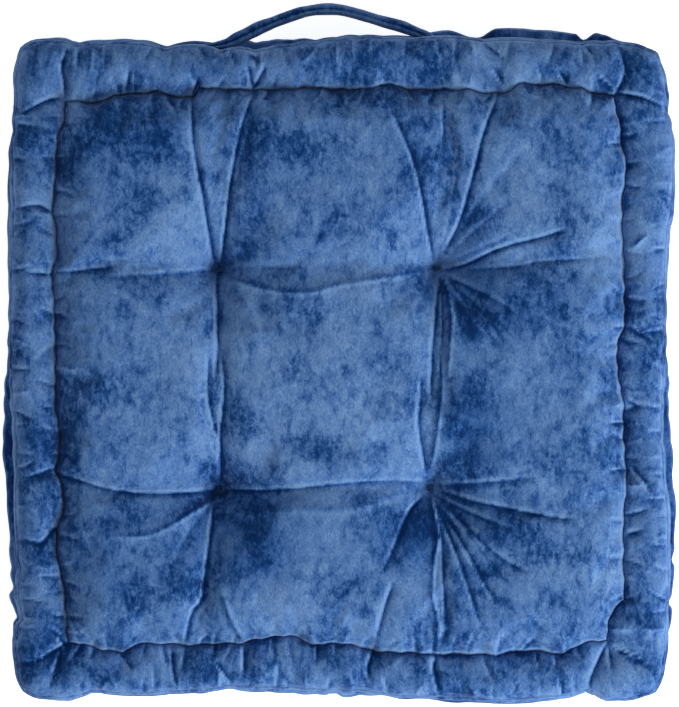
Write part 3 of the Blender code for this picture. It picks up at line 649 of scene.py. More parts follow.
def top_surface(lines):
    """Points of the top cover over the grid of lines, their tone of painted light and shade and pile patches,
    and which lie on a fold.
    """
    u, v = np.meshgrid(lines, lines)
    x, y = place(u, v)
    reach = square_reach(u, v)
    spacing = lines[len(lines) // 2] - lines[len(lines) // 2 - 1]
    folds = [(FIELD_GAIN * height, width, points) for height, width, points in FIELD_FOLDS]
    folds += [(PLEAT_GAIN * height, PLEAT_WIDTH, points) for height, points in ROLL_PLEATS]
    moved_x, moved_y, on_fold = drawn_to_folds(x, y, spacing, folds)
    on_fold &= (np.abs(reach - GROOVE_LINE) > 1e-6) & (SEAM_LINE - reach > 1e-6)
    x = np.where(on_fold, moved_x, x)
    y = np.where(on_fold, moved_y, y)
    inside = field_base(x, y, reach)
    pressed = on_field(inflated_field(), u, v) * (reach < GROOVE_LINE)[..., None]
    inside += pressed[..., 2]
    inside += 0.0014 * soft_noise(x, y, 0.045) + 0.0006 * soft_noise(x, y, 0.018) + star_pleats(x, y)
    plumpness = ROLL_HEIGHT + 0.0012 * soft_noise(x, y, 0.06)
    outside = roll_height(reach, ROLL_BASE_Z, plumpness) + 0.0004 * soft_noise(x, y, 0.02)
    z = np.where(reach < GROOVE_LINE - 1e-6, inside, outside)
    pucker = gathers(u, v, x, y)
    z += pucker
    # Painted light and shade: raised puckers lighter, sunk ones darker, and the stitch line's painted shade
    # and highlight
    painted_light_and_pile_tone = PUCKER_PAINTED_LIGHT * pucker + 0.9 * stitch_line_painted_light(u, v, reach)
    for height, width, points in folds + small_pleats():
        add_fold(z, painted_light_and_pile_tone, x, y, height, width, points)
    # The pile's own patches, with painted shade beside the tufts
    for patch_x, patch_y, radius, amount in PILE_AND_SHADE_PATCHES:
        away = np.hypot(x - patch_x * MM, y - patch_y * MM) / (radius * MM)
        painted_light_and_pile_tone += amount * np.exp(-(away**2) / 2)
    # Each tuft holds the cloth down, with painted shade in its pit
    for tuft in TUFTS:
        held = np.exp(-((from_tuft(tuft, x, y) / TUFT_HELD) ** 2))
        z += held * (tuft.z - 0.0005 - z)
        painted_light_and_pile_tone -= 1.2 * held
    z = np.where(np.isclose(reach, SEAM_LINE), SEAM_Z + 0.0005, z)
    return np.stack([x + pressed[..., 0], y + pressed[..., 1], z], axis=-1), painted_light_and_pile_tone, on_fold


def bottom_surface(lines):
    """Points of the bottom cover, pressed flat on the floor between its tufts and stitches, and its tone of
    painted light and shade.
    """
    u, v = np.meshgrid(lines, lines)
    reach = square_reach(u, v)
    across = np.clip((reach - GROOVE_LINE) / (SEAM_LINE - GROOVE_LINE), 0.0, 1.0)
    x, y = place(u, v, across * (BOTTOM_SPREAD * lower_roll_stand_out(u, v) + 0.001))
    inside = BOTTOM_GROOVE_Z * np.exp(-(GROOVE_LINE - reach).clip(0.0) / BOTTOM_GROOVE_REACH)
    pucker = gathers(u, v, x, y)
    # Painted light and shade: raised puckers lighter, sunk ones darker, painted shade along the stitch line
    # and round each tuft
    painted_light_and_pile_tone = PUCKER_PAINTED_LIGHT * pucker - 1.6 * np.exp(-(((reach - GROOVE_LINE) / BOTTOM_PAINTED_SHADE_LINE) ** 2))
    for tuft in TUFTS:
        away = from_tuft(tuft, x, y)
        inside += BOTTOM_TUFT_DEPTH * np.exp(-away / BOTTOM_TUFT_REACH)
        painted_light_and_pile_tone -= 2.0 * np.exp(-((away / BOTTOM_PAINTED_SHADE_TUFT) ** 2))
    share = np.abs(across - BOTTOM_FLAT_AT) / (1.0 - BOTTOM_FLAT_AT)
    outside = 0.0005 + np.where(across > BOTTOM_FLAT_AT, BOTTOM_SEAM_Z, BOTTOM_GROOVE_Z) * share**3
    z = np.where(reach < GROOVE_LINE - 1e-6, inside, outside)
    z += np.abs(pucker) + 0.0003 * (1 + soft_noise(x, y, 0.02))
    for height, width, points in FIELD_FOLDS:
        add_fold(z, painted_light_and_pile_tone, x, y, 0.8 * abs(height), max(width, 3.5), points)
    return np.stack([x, y, np.maximum(z, 0.0)], axis=-1), painted_light_and_pile_tone


# Meshes

SHARP_ANGLE = math.radians(42)


def grid_quads(rows, columns):
    """Corner numbers of every square in a grid of points."""
    index = np.arange(rows * columns).reshape(rows, columns)
    corners = [index[:-1, :-1], index[:-1, 1:], index[1:, 1:], index[1:, :-1]]
    return np.stack(corners, axis=-1).reshape(-1, 4)


def grid_piece(name, points, material, outside_up=True, on_fold=None):
    """A smooth sheet over a grid of points, rows by columns, its squares cut along the folds."""
    quads = grid_quads(*points.shape[:2])
    if not outside_up:
        quads = quads[:, ::-1]
    faces = quads.tolist()
    if on_fold is not None:
        held = on_fold.reshape(-1)[quads]
        along_first = held[:, 0] & held[:, 2]
        along_second = held[:, 1] & held[:, 3] & ~along_first
        faces = quads[~(along_first | along_second)].tolist()
        for a, b, c, d in quads[along_first]:
            faces += [(a, b, c), (a, c, d)]
        for a, b, c, d in quads[along_second]:
            faces += [(b, c, d), (b, d, a)]
    return mesh_piece(name, points.reshape(-1, 3).tolist(), faces, material)


def mesh_piece(name, points, faces, material=None):
    mesh = bpy.data.meshes.new(name)
    mesh.from_pydata(points, [], faces)
    mesh.validate()
    if material:
        mesh.materials.append(material)
    mesh.shade_smooth()
    mesh.set_sharp_from_angle(angle=SHARP_ANGLE)
    piece = bpy.data.objects.new(name, mesh)
    bpy.context.scene.collection.objects.link(piece)
    return piece


def ring_faces(rings, sides, first=0, closed=False):
    """Faces between rings of points, capped at both ends unless the last ring joins the first."""
    faces = []
    for k in range(rings if closed else rings - 1):
        here = first + k * sides
        after = first + (k + 1) % rings * sides
        for i in range(sides):
            j = (i + 1) % sides
            faces.append((here + i, here + j, after + j, after + i))
    if not closed:
        faces.append(tuple(first + i for i in reversed(range(sides))))
        faces.append(tuple(first + (rings - 1) * sides + i for i in range(sides)))
    return faces


def tube_piece(name, routes, radius, material, sides=8, closed=False):
    """Round threads along routes of points; open ones are rounded off at both ends."""
    points = []
    faces = []
    for route in routes:
        route = np.asarray(route, dtype=float)
        count = len(route)
        if closed:
            ways = np.roll(route, -1, axis=0) - np.roll(route, 1, axis=0)
            radii = np.full(count, radius)
        else:
            ways = np.gradient(route, axis=0)
            radii = radius * np.sqrt(np.clip(1.0 - np.linspace(-1.0, 1.0, count) ** 8, 0.02, 1.0))
        ways /= np.linalg.norm(ways, axis=1)[:, None]
        across = np.cross(ways, (0.0, 0.0, 1.0))
        across /= np.maximum(np.linalg.norm(across, axis=1)[:, None], 1e-9)
        up = np.cross(across, ways)
        first = len(points)
        for k in range(count):
            for i in range(sides):
                angle = 2 * math.pi * i / sides
                offset = math.cos(angle) * across[k] + math.sin(angle) * up[k]
                points.append(tuple(route[k] + radii[k] * offset))
        faces += ring_faces(count, sides, first, closed)
    return mesh_piece(name, points, faces, material)


def add_painted_light_and_pile_tone(piece, painted_light_and_pile_tone):
    """Stores the painted light and shade at each point of a cover, with the pile's own patches on the top
    cover.
    """
    piece.data.attributes.new("painted_light_and_pile_tone", "FLOAT", "POINT").data.foreach_set("value", painted_light_and_pile_tone.reshape(-1))


def stands_for(piece, node, body="cushion"):
    """Puts a piece in the place of its CAD node: hides the node, and attaches the piece to the body unless
    body is None.
    """
    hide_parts(node)
    if body:
        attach(piece, body)


# Materials


def new_material(name):
    material = bpy.data.materials.new(name)
    material.use_nodes = True
    return material, material.node_tree, material.node_tree.nodes["Principled BSDF"]


def noise_node(tree, coordinates, scale, detail, roughness, distortion):
    texture = tree.nodes.new("ShaderNodeTexNoise")
    texture.inputs["Scale"].default_value = scale
    texture.inputs["Detail"].default_value = detail
    texture.inputs["Roughness"].default_value = roughness
    texture.inputs["Distortion"].default_value = distortion
    tree.links.new(coordinates, texture.inputs["Vector"])
    return texture.outputs["Fac"]


def math_node(tree, operation, *values):
    step = tree.nodes.new("ShaderNodeMath")
    step.operation = operation
    for socket, value in zip(step.inputs, values):
        if isinstance(value, (int, float)):
            socket.default_value = value
        else:
            tree.links.new(value, socket)
    return step.outputs["Value"]


def ramp_node(tree, factor, stops):
    """A colour ramp whose stops are (position, colour)."""
    ramp = tree.nodes.new("ShaderNodeValToRGB")
    elements = ramp.color_ramp.elements
    while len(elements) < len(stops):
        elements.new(0.5)
    for element, (position, colour) in zip(elements, stops):
        element.position = position
        element.color = (*colour, 1.0)
    tree.links.new(factor, ramp.inputs["Fac"])
    return ramp.outputs["Color"]


def bump_node(tree, height, distance, strength=1.0, before=None):
    bump = tree.nodes.new("ShaderNodeBump")
    bump.inputs["Distance"].default_value = distance
    bump.inputs["Strength"].default_value = strength
    tree.links.new(height, bump.inputs["Height"])
    if before is not None:
        tree.links.new(before, bump.inputs["Normal"])
    return bump.outputs["Normal"]


def srgb(red, green, blue):
    """Linear colour of an 8-bit screen colour."""
    def linear(value):
        share = value / 255
        return share / 12.92 if share <= 0.04045 else ((share + 0.055) / 1.055) ** 2.4
    return linear(red), linear(green), linear(blue)


VELVET_STOPS = (
    (0.00, srgb(1, 40, 90)),
    (0.22, srgb(11, 54, 107)),
    (0.42, srgb(32, 72, 128)),
    (0.60, srgb(55, 92, 147)),
    (0.78, srgb(76, 112, 163)),
    (1.00, srgb(101, 136, 181)),
)


def stepped(tree, factor, low, high):
    """0 below low, 1 above high, and smooth between."""
    span = tree.nodes.new("ShaderNodeMapRange")
    span.interpolation_type = "SMOOTHSTEP"
    span.inputs["From Min"].default_value = low
    span.inputs["From Max"].default_value = high
    tree.links.new(factor, span.inputs["Value"])
    return span.outputs["Result"]


PILE_STRETCH = (1.25, 0.75, 1.0)  # the pile's marks are longer from front to back
PILE_GRAINS = ((600, 2.0, 0.62), (130, 5.0, 0.66), (34, 2.0, 0.34))  # (scale, detail, share of the level)
CLUSTER_SCALE, DAB_SCALE, STROKE_SCALE, FIBRE_SCALE = 20, 230, 110, 1100
# How far the tone attribute, painted light and shade with the pile's own patches, moves the clusters and the
# level
TONE_TO_CLUSTERS = 0.06
TONE_TO_LEVEL = 0.17


def velvet(name, light=0.78, patch=1.0):
    """Crushed velvet: an even pile with clusters of dark dabs where it is pressed the other way.

    light is the level of the even pile on the colour ramp, and patch makes the marks finer above 1.
    """
    material, tree, shader = new_material(name)
    coordinates = tree.nodes.new("ShaderNodeTexCoord").outputs["Object"]
    stretch = tree.nodes.new("ShaderNodeVectorMath")
    stretch.operation = "MULTIPLY"
    stretch.inputs[1].default_value = PILE_STRETCH
    tree.links.new(coordinates, stretch.inputs[0])
    streaked = stretch.outputs["Vector"]
    # The painted light and shade of the folds, stitch lines, puckers, tufts and strap, and the pile's own
    # patches, come in through this attribute
    painted_light_and_pile_tone = tree.nodes.new("ShaderNodeAttribute")
    painted_light_and_pile_tone.attribute_name = "painted_light_and_pile_tone"
    painted_light_and_pile_tone = painted_light_and_pile_tone.outputs["Fac"]
    broad = noise_node(tree, coordinates, CLUSTER_SCALE * patch, 4.0, 0.6, 0.3)
    broad = math_node(tree, "SUBTRACT", broad, math_node(tree, "MULTIPLY", painted_light_and_pile_tone, TONE_TO_CLUSTERS))
    clusters = stepped(tree, broad, 0.43, 0.68)
    dabs = noise_node(tree, streaked, DAB_SCALE * patch, 5.0, 0.7, 0.2)
    granules = math_node(tree, "MULTIPLY_ADD", stepped(tree, dabs, 0.43, 0.60), 0.36, 0.12)
    level = math_node(tree, "SUBTRACT", light, math_node(tree, "MULTIPLY", clusters, granules))
    strokes = noise_node(tree, streaked, STROKE_SCALE * patch, 7.0, 0.70, 0.5)
    strokes = math_node(tree, "MULTIPLY_ADD", math_node(tree, "SUBTRACT", broad, 0.5), 0.5, strokes)
    strokes = math_node(tree, "MULTIPLY", stepped(tree, strokes, 0.45, 0.70), 0.34)
    level = math_node(tree, "SUBTRACT", level, strokes)
    for scale, detail, share in PILE_GRAINS:
        grain = noise_node(tree, streaked, scale * patch, detail, 0.65, 0.2)
        level = math_node(tree, "MULTIPLY_ADD", math_node(tree, "SUBTRACT", grain, 0.5), share, level)
    level = math_node(tree, "MULTIPLY_ADD", painted_light_and_pile_tone, TONE_TO_LEVEL, level)
    tree.links.new(ramp_node(tree, level, VELVET_STOPS), shader.inputs["Base Color"])
    pile = noise_node(tree, coordinates, FIBRE_SCALE, 2.0, 0.6, 0.0)
    crushed = bump_node(tree, dabs, 0.0012, 0.5)
    tree.links.new(bump_node(tree, pile, 0.0004, 0.5, crushed), shader.inputs["Normal"])
    roughness = math_node(tree, "ADD", math_node(tree, "MULTIPLY", dabs, 0.3), 0.6)
    tree.links.new(roughness, shader.inputs["Roughness"])
    shader.inputs["Specular IOR Level"].default_value = 0.06
    shader.inputs["Sheen Weight"].default_value = 0.10
    shader.inputs["Sheen Roughness"].default_value = 0.45
    shader.inputs["Sheen Tint"].default_value = (0.82, 0.90, 1.0, 1.0)
    return material


def twisted_thread(name, dark, light, scale):
    """Thread with the slanting bands of its twist."""
    material, tree, shader = new_material(name)
    coordinates = tree.nodes.new("ShaderNodeTexCoord").outputs["Object"]
    wave = tree.nodes.new("ShaderNodeTexWave")
    wave.bands_direction = "DIAGONAL"
    wave.inputs["Scale"].default_value = scale
    wave.inputs["Distortion"].default_value = 1.0
    tree.links.new(coordinates, wave.inputs["Vector"])
    bands = wave.outputs["Fac"]
    tree.links.new(ramp_node(tree, bands, ((0.2, dark), (0.8, light))), shader.inputs["Base Color"])
    tree.links.new(bump_node(tree, bands, 0.0003), shader.inputs["Normal"])
    shader.inputs["Roughness"].default_value = 0.7
    return material


def woven(name, dark, light, scale):
    """Plain weave of webbing, or loose fibre when the scale is small."""
    material, tree, shader = new_material(name)
    coordinates = tree.nodes.new("ShaderNodeTexCoord").outputs["Object"]
    strands = noise_node(tree, coordinates, scale, 6.0, 0.7, 1.5)
    tree.links.new(ramp_node(tree, strands, ((0.3, dark), (0.7, light))), shader.inputs["Base Color"])
    tree.links.new(bump_node(tree, strands, 0.002), shader.inputs["Normal"])
    shader.inputs["Roughness"].default_value = 0.9
    return material


VELVET = velvet("crushed_velvet", light=0.79)
# A darker copy of the velvet for the side strips and the underside: painted shade
VELVET_SIDE_PAINTED_SHADE = velvet("crushed_velvet_side_painted_shade", light=0.74)
VELVET_HANDLE = velvet("crushed_velvet_handle", light=0.78, patch=1.5)
# A lighter copy of the velvet for the seam ridges: a painted highlight
VELVET_SEAM_PAINTED_HIGHLIGHT = velvet("crushed_velvet_seam_painted_highlight", light=0.88)
THREAD = twisted_thread("sewing_thread", srgb(22, 44, 82), srgb(48, 78, 126), 900)
TWINE = twisted_thread("tufting_twine", srgb(150, 140, 118), srgb(214, 206, 186), 500)
FIBRE = woven("polyester_fibre", srgb(190, 190, 188), srgb(245, 245, 242), 60)
WEBBING = woven("polyester_webbing", srgb(110, 116, 126), srgb(176, 182, 190), 700)


# Covers

TOP_ROLL_LINES = 20
TOP_LINES = grid_lines(256, TOP_ROLL_LINES)
TOP, TOP_PAINTED_LIGHT_AND_PILE, TOP_ON_FOLD = top_surface(TOP_LINES)
top_cover = grid_piece("top_cover", TOP, VELVET, on_fold=TOP_ON_FOLD)
add_painted_light_and_pile_tone(top_cover, TOP_PAINTED_LIGHT_AND_PILE)
stands_for(top_cover, "top_cover_panel")

BOTTOM_ROLL_LINES = 12
BOTTOM_LINES = grid_lines(128, BOTTOM_ROLL_LINES)
BOTTOM, BOTTOM_PAINTED_LIGHT = bottom_surface(BOTTOM_LINES)
bottom_cover = grid_piece("bottom_cover", BOTTOM, VELVET_SIDE_PAINTED_SHADE, outside_up=False)
add_painted_light_and_pile_tone(bottom_cover, BOTTOM_PAINTED_LIGHT)
stands_for(bottom_cover, "bottom_cover_panel")

# Gusset: (height, how far it stands out from the top seam, how far it follows the lower roll)
GUSSET_PROFILE = (
    (0.0830, 0.0000, 0.0), (0.0815, 0.0018, 0.0), (0.0785, 0.0030, 0.0), (0.0745, 0.0030, 0.0),
    (0.0705, 0.0005, 0.0), (0.0672, -0.0055, 0.0), (0.0645, -0.0110, 0.0), (0.0636, -0.0118, 0.0),
    (0.0625, -0.0105, 0.0), (0.0595, -0.0062, 0.1), (0.0550, -0.0045, 0.2), (0.0500, -0.0040, 0.3),
    (0.0450, -0.0045, 0.4), (0.0405, -0.0062, 0.4), (0.0375, -0.0100, 0.4), (0.0362, -0.0116, 0.4),
    (0.0352, -0.0108, 0.4), (0.0330, -0.0050, 0.6), (0.0300, 0.0000, 0.9), (0.0265, 0.0006, 1.0),
    (0.0230, 0.0004, 1.0), (0.0200, 0.0000, 0.85), (0.0180, 0.0000, 0.65), (0.0170, 0.0000, 0.6),
)
WAIST_Z = (SEAM_Z + BOTTOM_SEAM_Z) / 2
WAIST_HALF_HEIGHT = 0.013
UPPER_GROOVE_Z, LOWER_GROOVE_Z = 0.064, 0.036
GROOVE_PUCKER_REACH = 0.007
STRIP_SEAM_REACH = 0.004
STRIP_END_FADE = 0.010
STRIP_PUCKER_SIZES = (0.010, 0.030, 0.055)  # of its fine and coarse puckers, and of its sags
STRIP_FINE, STRIP_COARSE, STRIP_SAG = 0.0015, 0.0018, 0.0012  # how far they push it out
STRIP_RISE = 0.0015


def beside(height, levels, reach):
    """1 at any of the levels, fading away from them over a reach."""
    return min(sum(math.exp(-abs(height - level) / reach) for level in levels), 1.0)


def gusset_surface(side, along):
    """Points of one side strip and its tone of painted light and shade: rows go down from the top seam,
    columns along the side.
    """
    heights, stand_outs, follows = np.array(GUSSET_PROFILE).T
    steps = np.linspace(0.0, len(heights) - 1.0, 2 * len(heights) - 1)
    known = np.arange(len(heights))
    heights = np.interp(steps, known, heights)
    stand_outs = np.interp(steps, known, stand_outs)
    follows = np.interp(steps, known, follows)
    edge = np.full_like(along, SEAM_LINE)
    if side in ("right", "left"):
        u, v = (edge if side == "right" else -edge), along
    else:
        u, v = along, (edge if side == "back" else -edge)
    lower = lower_roll_stand_out(u, v)
    fine, coarse, sag = (soft_noise(along, np.zeros_like(along), size) for size in STRIP_PUCKER_SIZES)
    from_end = np.clip((SEAM_LINE - np.abs(along)) / STRIP_END_FADE, 0.0, 1.0)
    rows = []
    painted_light_tones = []
    for height, stand_out, follow in zip(heights, stand_outs, follows):
        near_groove = beside(height, (UPPER_GROOVE_Z, LOWER_GROOVE_Z), GROOVE_PUCKER_REACH)
        free = 1.0 - beside(height, (SEAM_Z, BOTTOM_SEAM_Z), STRIP_SEAM_REACH)
        pinch = near_groove * (STRIP_FINE * fine + STRIP_COARSE * coarse) + free * STRIP_SAG * sag
        waist = math.exp(-(((height - WAIST_Z) / WAIST_HALF_HEIGHT) ** 4))
        x, y = place(u, v, stand_out + follow * lower * (1 - waist) + from_end * pinch, 1.0 - waist)
        rows.append(np.stack([x, y, height + from_end * free * STRIP_RISE * coarse], axis=-1))
        # Painted shade in the upper and lower stitch grooves; the fine puckers and the sags get painted light
        # where they push the strip out and painted shade where they draw it in
        shade = 1.5 * beside(height, (UPPER_GROOVE_Z,), 0.003)
        shade += 2.0 * beside(height, (LOWER_GROOVE_Z - MM,), 0.004)
        painted_light_tones.append(near_groove * 1.5 * fine + 0.5 * sag - shade)
    return np.array(rows), np.array(painted_light_tones)


SIDE_LINES = grid_lines(200, 12)
SIDES = {}
for side in ("right", "back", "left", "front"):
    SIDES[side], side_painted_light = gusset_surface(side, SIDE_LINES)
    strip = grid_piece(f"side_strip_{side}", SIDES[side], VELVET_SIDE_PAINTED_SHADE, outside_up=side in ("back", "left"))
    add_painted_light_and_pile_tone(strip, side_painted_light)
    stands_for(strip, f"gusset_{side}")

# Seams


def around(grid, ring=0):
    """The closed loop of a grid's points, ring rows in from its edge."""
    last = grid.shape[0] - 1 - ring
    return np.concatenate([
        grid[ring, ring:last], grid[ring:last, last], grid[last, last:ring:-1], grid[last:ring:-1, ring]
    ])


SEAM_SPACING = 0.003
THREAD_SPACING = 0.0008
STITCH_STEPS, GAP_STEPS = 6, 4
THREAD_RADIUS = 0.0004


def lengths_along(points):
    """Distance of each point from the first, along the line through them all."""
    return np.concatenate([[0.0], np.cumsum(np.linalg.norm(np.diff(points, axis=0), axis=1))])


def spaced(loop, spacing):
    """Points at even spacing along a closed loop."""
    loop = np.vstack([loop, loop[:1]])
    passed = lengths_along(loop)
    count = int(passed[-1] / spacing)
    wanted = np.arange(count) * passed[-1] / count
    return np.stack([np.interp(wanted, passed, loop[:, k]) for k in range(3)], axis=-1)


def around_sides(row):
    """The closed loop that one row of all four side strips makes."""
    runs = [SIDES["right"][row], SIDES["back"][row][::-1], SIDES["left"][row][::-1], SIDES["front"][row]]
    return np.concatenate([run[:-1] for run in runs])


def edge_seam(name, loop, radius, node):
    """The ridge of turned-in cloth along one edge."""
    ridge = tube_piece(name, [spaced(loop, SEAM_SPACING)], radius, VELVET_SEAM_PAINTED_HIGHLIGHT, closed=True)
    stands_for(ridge, node)


edge_seam("top_seam_ridge", around(TOP), 0.0016, "top_edge_seam")
edge_seam("bottom_seam_ridge", around(BOTTOM), 0.0013, "bottom_edge_seam")


def running_stitch(name, loop, lift, node):
    """Separate short stitches along a loop, each dipping into the cloth at its ends."""
    path = spaced(loop, THREAD_SPACING)
    bow = np.outer(np.sin(np.linspace(0.0, math.pi, STITCH_STEPS + 1)), lift)
    starts = range(0, len(path) - STITCH_STEPS, STITCH_STEPS + GAP_STEPS)
    routes = [path[start:start + STITCH_STEPS + 1] + bow for start in starts]
    thread = tube_piece(name, routes, THREAD_RADIUS, THREAD, sides=6)
    stands_for(thread, node)


LIFT = np.array((0.0, 0.0, THREAD_RADIUS))
NO_LIFT = np.zeros(3)
UPPER_ROW, LOWER_ROW = 14, 30  # rows of the side strips at the bottom of their grooves
running_stitch("top_roll_stitches", around(TOP, TOP_ROLL_LINES), LIFT, "top_roll_stitching")
running_stitch("bottom_roll_stitches", around(BOTTOM, BOTTOM_ROLL_LINES), -LIFT, "bottom_roll_stitching")
running_stitch("upper_side_stitches", around_sides(UPPER_ROW), NO_LIFT, "upper_gusset_stitching")
running_stitch("lower_side_stitches", around_sides(LOWER_ROW), NO_LIFT, "lower_gusset_stitching")


# Handle

STRAP_ROUTE = (  # offsets from the hinge along the loop, seen from above, millimetres
    (-86.0, -3.4), (-75.5, 1.4), (-60.5, 8.0), (-46.6, 14.0), (-29.6, 20.6), (-12.0, 23.7), (3.4, 23.7),
    (16.5, 20.7), (34.2, 15.3), (51.1, 11.0), (66.5, 6.0), (73.7, 2.5), (76.0, 1.2),
)
LEFT_TAB_ROUTE = ((-106.5, -5.0), (-98.0, -4.4), (-89.0, -3.4), (-82.0, -2.0), (-76.5, -0.2))
RIGHT_TAB_ROUTE = ((74.0, 1.6), (79.0, -0.8), (86.0, -2.6), (94.0, -3.8), (102.0, -4.6))
STRAP_THICKNESS = 0.0086
WEBBING_THICKNESS = 0.0026
WEBBING_SHARE = 0.75  # of the sleeve's width
STRAP_WIDTH = STRAP_HIGH.z - STRAP_LOW.z
TUCKED_END = 0.0035  # how far a strap's free end takes to round off where it is turned under
SLEEVE_SIDES = 36
NOTCH_DEPTH = 0.0014  # how deep the two layers' seam lies along each edge
NOTCH_HALF_WIDTH = 0.3  # as a share of the strap's half thickness


def even_route(points, steps):
    """A smooth curve through points seen from above, as evenly spaced points, and its length."""
    path = smooth_route(points)
    passed = lengths_along(path)
    wanted = np.linspace(0.0, 1.0, steps) * passed[-1]
    return np.stack([np.interp(wanted, passed, path[:, k]) for k in (0, 1)], axis=-1), passed[-1]


def strap_piece(name, route, thicknesses, widths, material, steps, free_end=None):
    """A flat sleeve on edge along a route, two layers of cloth that meet in a line along each edge.

    free_end is 0 or 1 where the route's start or end is turned under and sewn down flat.
    """
    known = np.array(route) * MM + np.array((HINGE.x, HINGE.y))
    share = lengths_along(known)
    share /= share[-1]
    path_share = np.linspace(0.0, 1.0, steps)
    path, length = even_route(known / MM, steps)
    way = np.gradient(path, axis=0)
    way /= np.linalg.norm(way, axis=1)[:, None]
    normal = np.stack([-way[:, 1], way[:, 0]], axis=-1)
    thick = np.interp(path_share, share, thicknesses) / 2
    wide = np.interp(path_share, share, widths) / 2
    thick = thick + 0.0004 * soft_noise(path[:, 0], path[:, 1], 0.012)
    if free_end is not None:
        inwards = np.clip(np.abs(path_share - free_end) * length / TUCKED_END, 0.0, 1.0)
        rounding = np.sqrt(1.0 - (1.0 - inwards) ** 2)
        thick = thick * (0.15 + 0.85 * rounding)
        wide = wide * (0.86 + 0.14 * rounding)
    sway = 0.0007 * soft_noise(path[:, 0], path[:, 1] + 0.1, 0.02)
    rings = []
    painted_light_tones = []
    for i in range(SLEEVE_SIDES):
        angle = 2 * math.pi * i / SLEEVE_SIDES
        across = math.copysign(abs(math.cos(angle)) ** 0.6, math.cos(angle))
        # Painted light: one face of the strap lighter and the other darker, and painted shade in the seam line
        # along each edge
        painted_light_tones.append(0.2 - 0.6 * across - 1.8 * math.exp(-((across / 0.2) ** 2)))
        up = math.copysign(abs(math.sin(angle)) ** 0.7, math.sin(angle))
        notch = NOTCH_DEPTH * math.exp(-((across / NOTCH_HALF_WIDTH) ** 2)) * math.copysign(1.0, up)
        pucker = 0.0003 * soft_noise(path[:, 0], path[:, 1] + 0.02 * i, 0.008)
        side_way = normal * ((thick + pucker) * across + sway)[:, None]
        height = HINGE.z + wide * up - notch * (wide > 0.003)
        rings.append(np.concatenate([path + side_way, height[:, None]], axis=1))
    points = np.array(rings).transpose(1, 0, 2)
    piece = mesh_piece(name, points.reshape(-1, 3).tolist(), ring_faces(steps, SLEEVE_SIDES), material)
    add_painted_light_and_pile_tone(piece, np.tile(painted_light_tones, (steps, 1)))
    return piece, points


# Thickness and width at each point of the loop's route, then of the webbing's and the sewn ends'
LOOP_POINTS = len(STRAP_ROUTE)
loop_thicknesses = [STRAP_THICKNESS] * LOOP_POINTS
loop_thicknesses[:4] = [0.0060, 0.0096, 0.0106, 0.0092]
loop_thicknesses[-3:] = [0.0080, 0.0084, 0.0070]
loop_widths = [0.009, 0.012, 0.019] + [STRAP_WIDTH] * (LOOP_POINTS - 6) + [0.020, 0.013, 0.009]
sleeve, _ = strap_piece("strap_sleeve", STRAP_ROUTE, loop_thicknesses, loop_widths, VELVET_HANDLE, 150)
stands_for(sleeve, "handle_strap", body=None)
webbing_route = STRAP_ROUTE[1:-1]
webbing_thicknesses = [WEBBING_THICKNESS] * len(webbing_route)
webbing_widths = [WEBBING_SHARE * width for width in loop_widths[1:-1]]
webbing, _ = strap_piece("webbing_strip", webbing_route, webbing_thicknesses, webbing_widths, WEBBING, 90)
stands_for(webbing, "handle_webbing", body=None)
for strap in (sleeve, webbing):
    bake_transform(strap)

TAB_THICKNESSES = (0.0030, 0.0040, 0.0060, 0.0074, 0.0070)
TAB_WIDTHS = (0.0185, 0.0190, 0.0180, 0.0140, 0.0100)
TAB_LIFT = np.array((0.0, 0.0003, 0.0))
BOX_STITCH_SIDES = slice(5, 14)  # points round the strap that lie on its outer face
for side, route, order, free_end, box_steps in (
        ("left", LEFT_TAB_ROUTE, 1, 0, slice(5, 36)), ("right", RIGHT_TAB_ROUTE, -1, 1, slice(24, 55))):
    tab, rings = strap_piece(f"strap_end_{side}", route, TAB_THICKNESSES[::order], TAB_WIDTHS[::order],
                             VELVET_HANDLE, 60, free_end)
    stands_for(tab, f"handle_tab_{side}")
    face = rings[box_steps, BOX_STITCH_SIDES]
    box = np.concatenate([face[0], face[:, -1], face[-1, ::-1], face[::-1, 0]])
    running_stitch(f"strap_end_stitches_{side}", box, TAB_LIFT, f"handle_stitching_{side}")

# Tufts

TUFT_STITCH_HALF = 0.0038
TUFT_THREAD_RADIUS = 0.0006


def tuft_stitch(number, tuft, side):
    """Two short strands of thread that lie across the middle of a tuft and dive into the cloth."""
    surface = TOP if side == "top" else BOTTOM
    away = from_tuft(tuft, surface[..., 0], surface[..., 1])
    level = surface[..., 2].reshape(-1)[away.argmin()]
    outwards = 1.0 if side == "top" else -1.0
    routes = []
    for across in (-0.0006, 0.0007):
        share = np.linspace(-1.0, 1.0, 13)
        height = level + outwards * (0.0010 - 0.0022 * share**4)
        bow = across * (1.0 + 0.5 * share**2)
        strand = [tuft.x + TUFT_STITCH_HALF * share, tuft.y + bow + 0.0004 * share, height]
        routes.append(np.stack(strand, axis=-1))
    strands = tube_piece(f"tuft_thread_{side}_{number}", routes, TUFT_THREAD_RADIUS, THREAD)
    stands_for(strands, f"tuft_stitch_{side}_{number}")


for number, tuft in enumerate(TUFTS, start=1):
    for side in ("top", "bottom"):
        tuft_stitch(number, tuft, side)
    twine = frame["nodes"][f"tuft_twine_{number}"]
    twine.material_slots[0].material = TWINE

# Filling

CORE_GAP = 0.003  # how far inside the covers' lowest folds the core ends
TOP_MARGIN, BOTTOM_MARGIN = 26, 14  # grid lines of each cover outside the core
CORE_STEP = 6
ROPE_SIDES = 16
ROPE_LINES = 120


def lowest_near(heights, steps):
    """Lowest of the heights within a number of grid steps of each point."""
    for axis in (0, 1):
        heights = np.min([np.roll(heights, shift, axis=axis) for shift in range(-steps, steps + 1)], axis=0)
    return heights


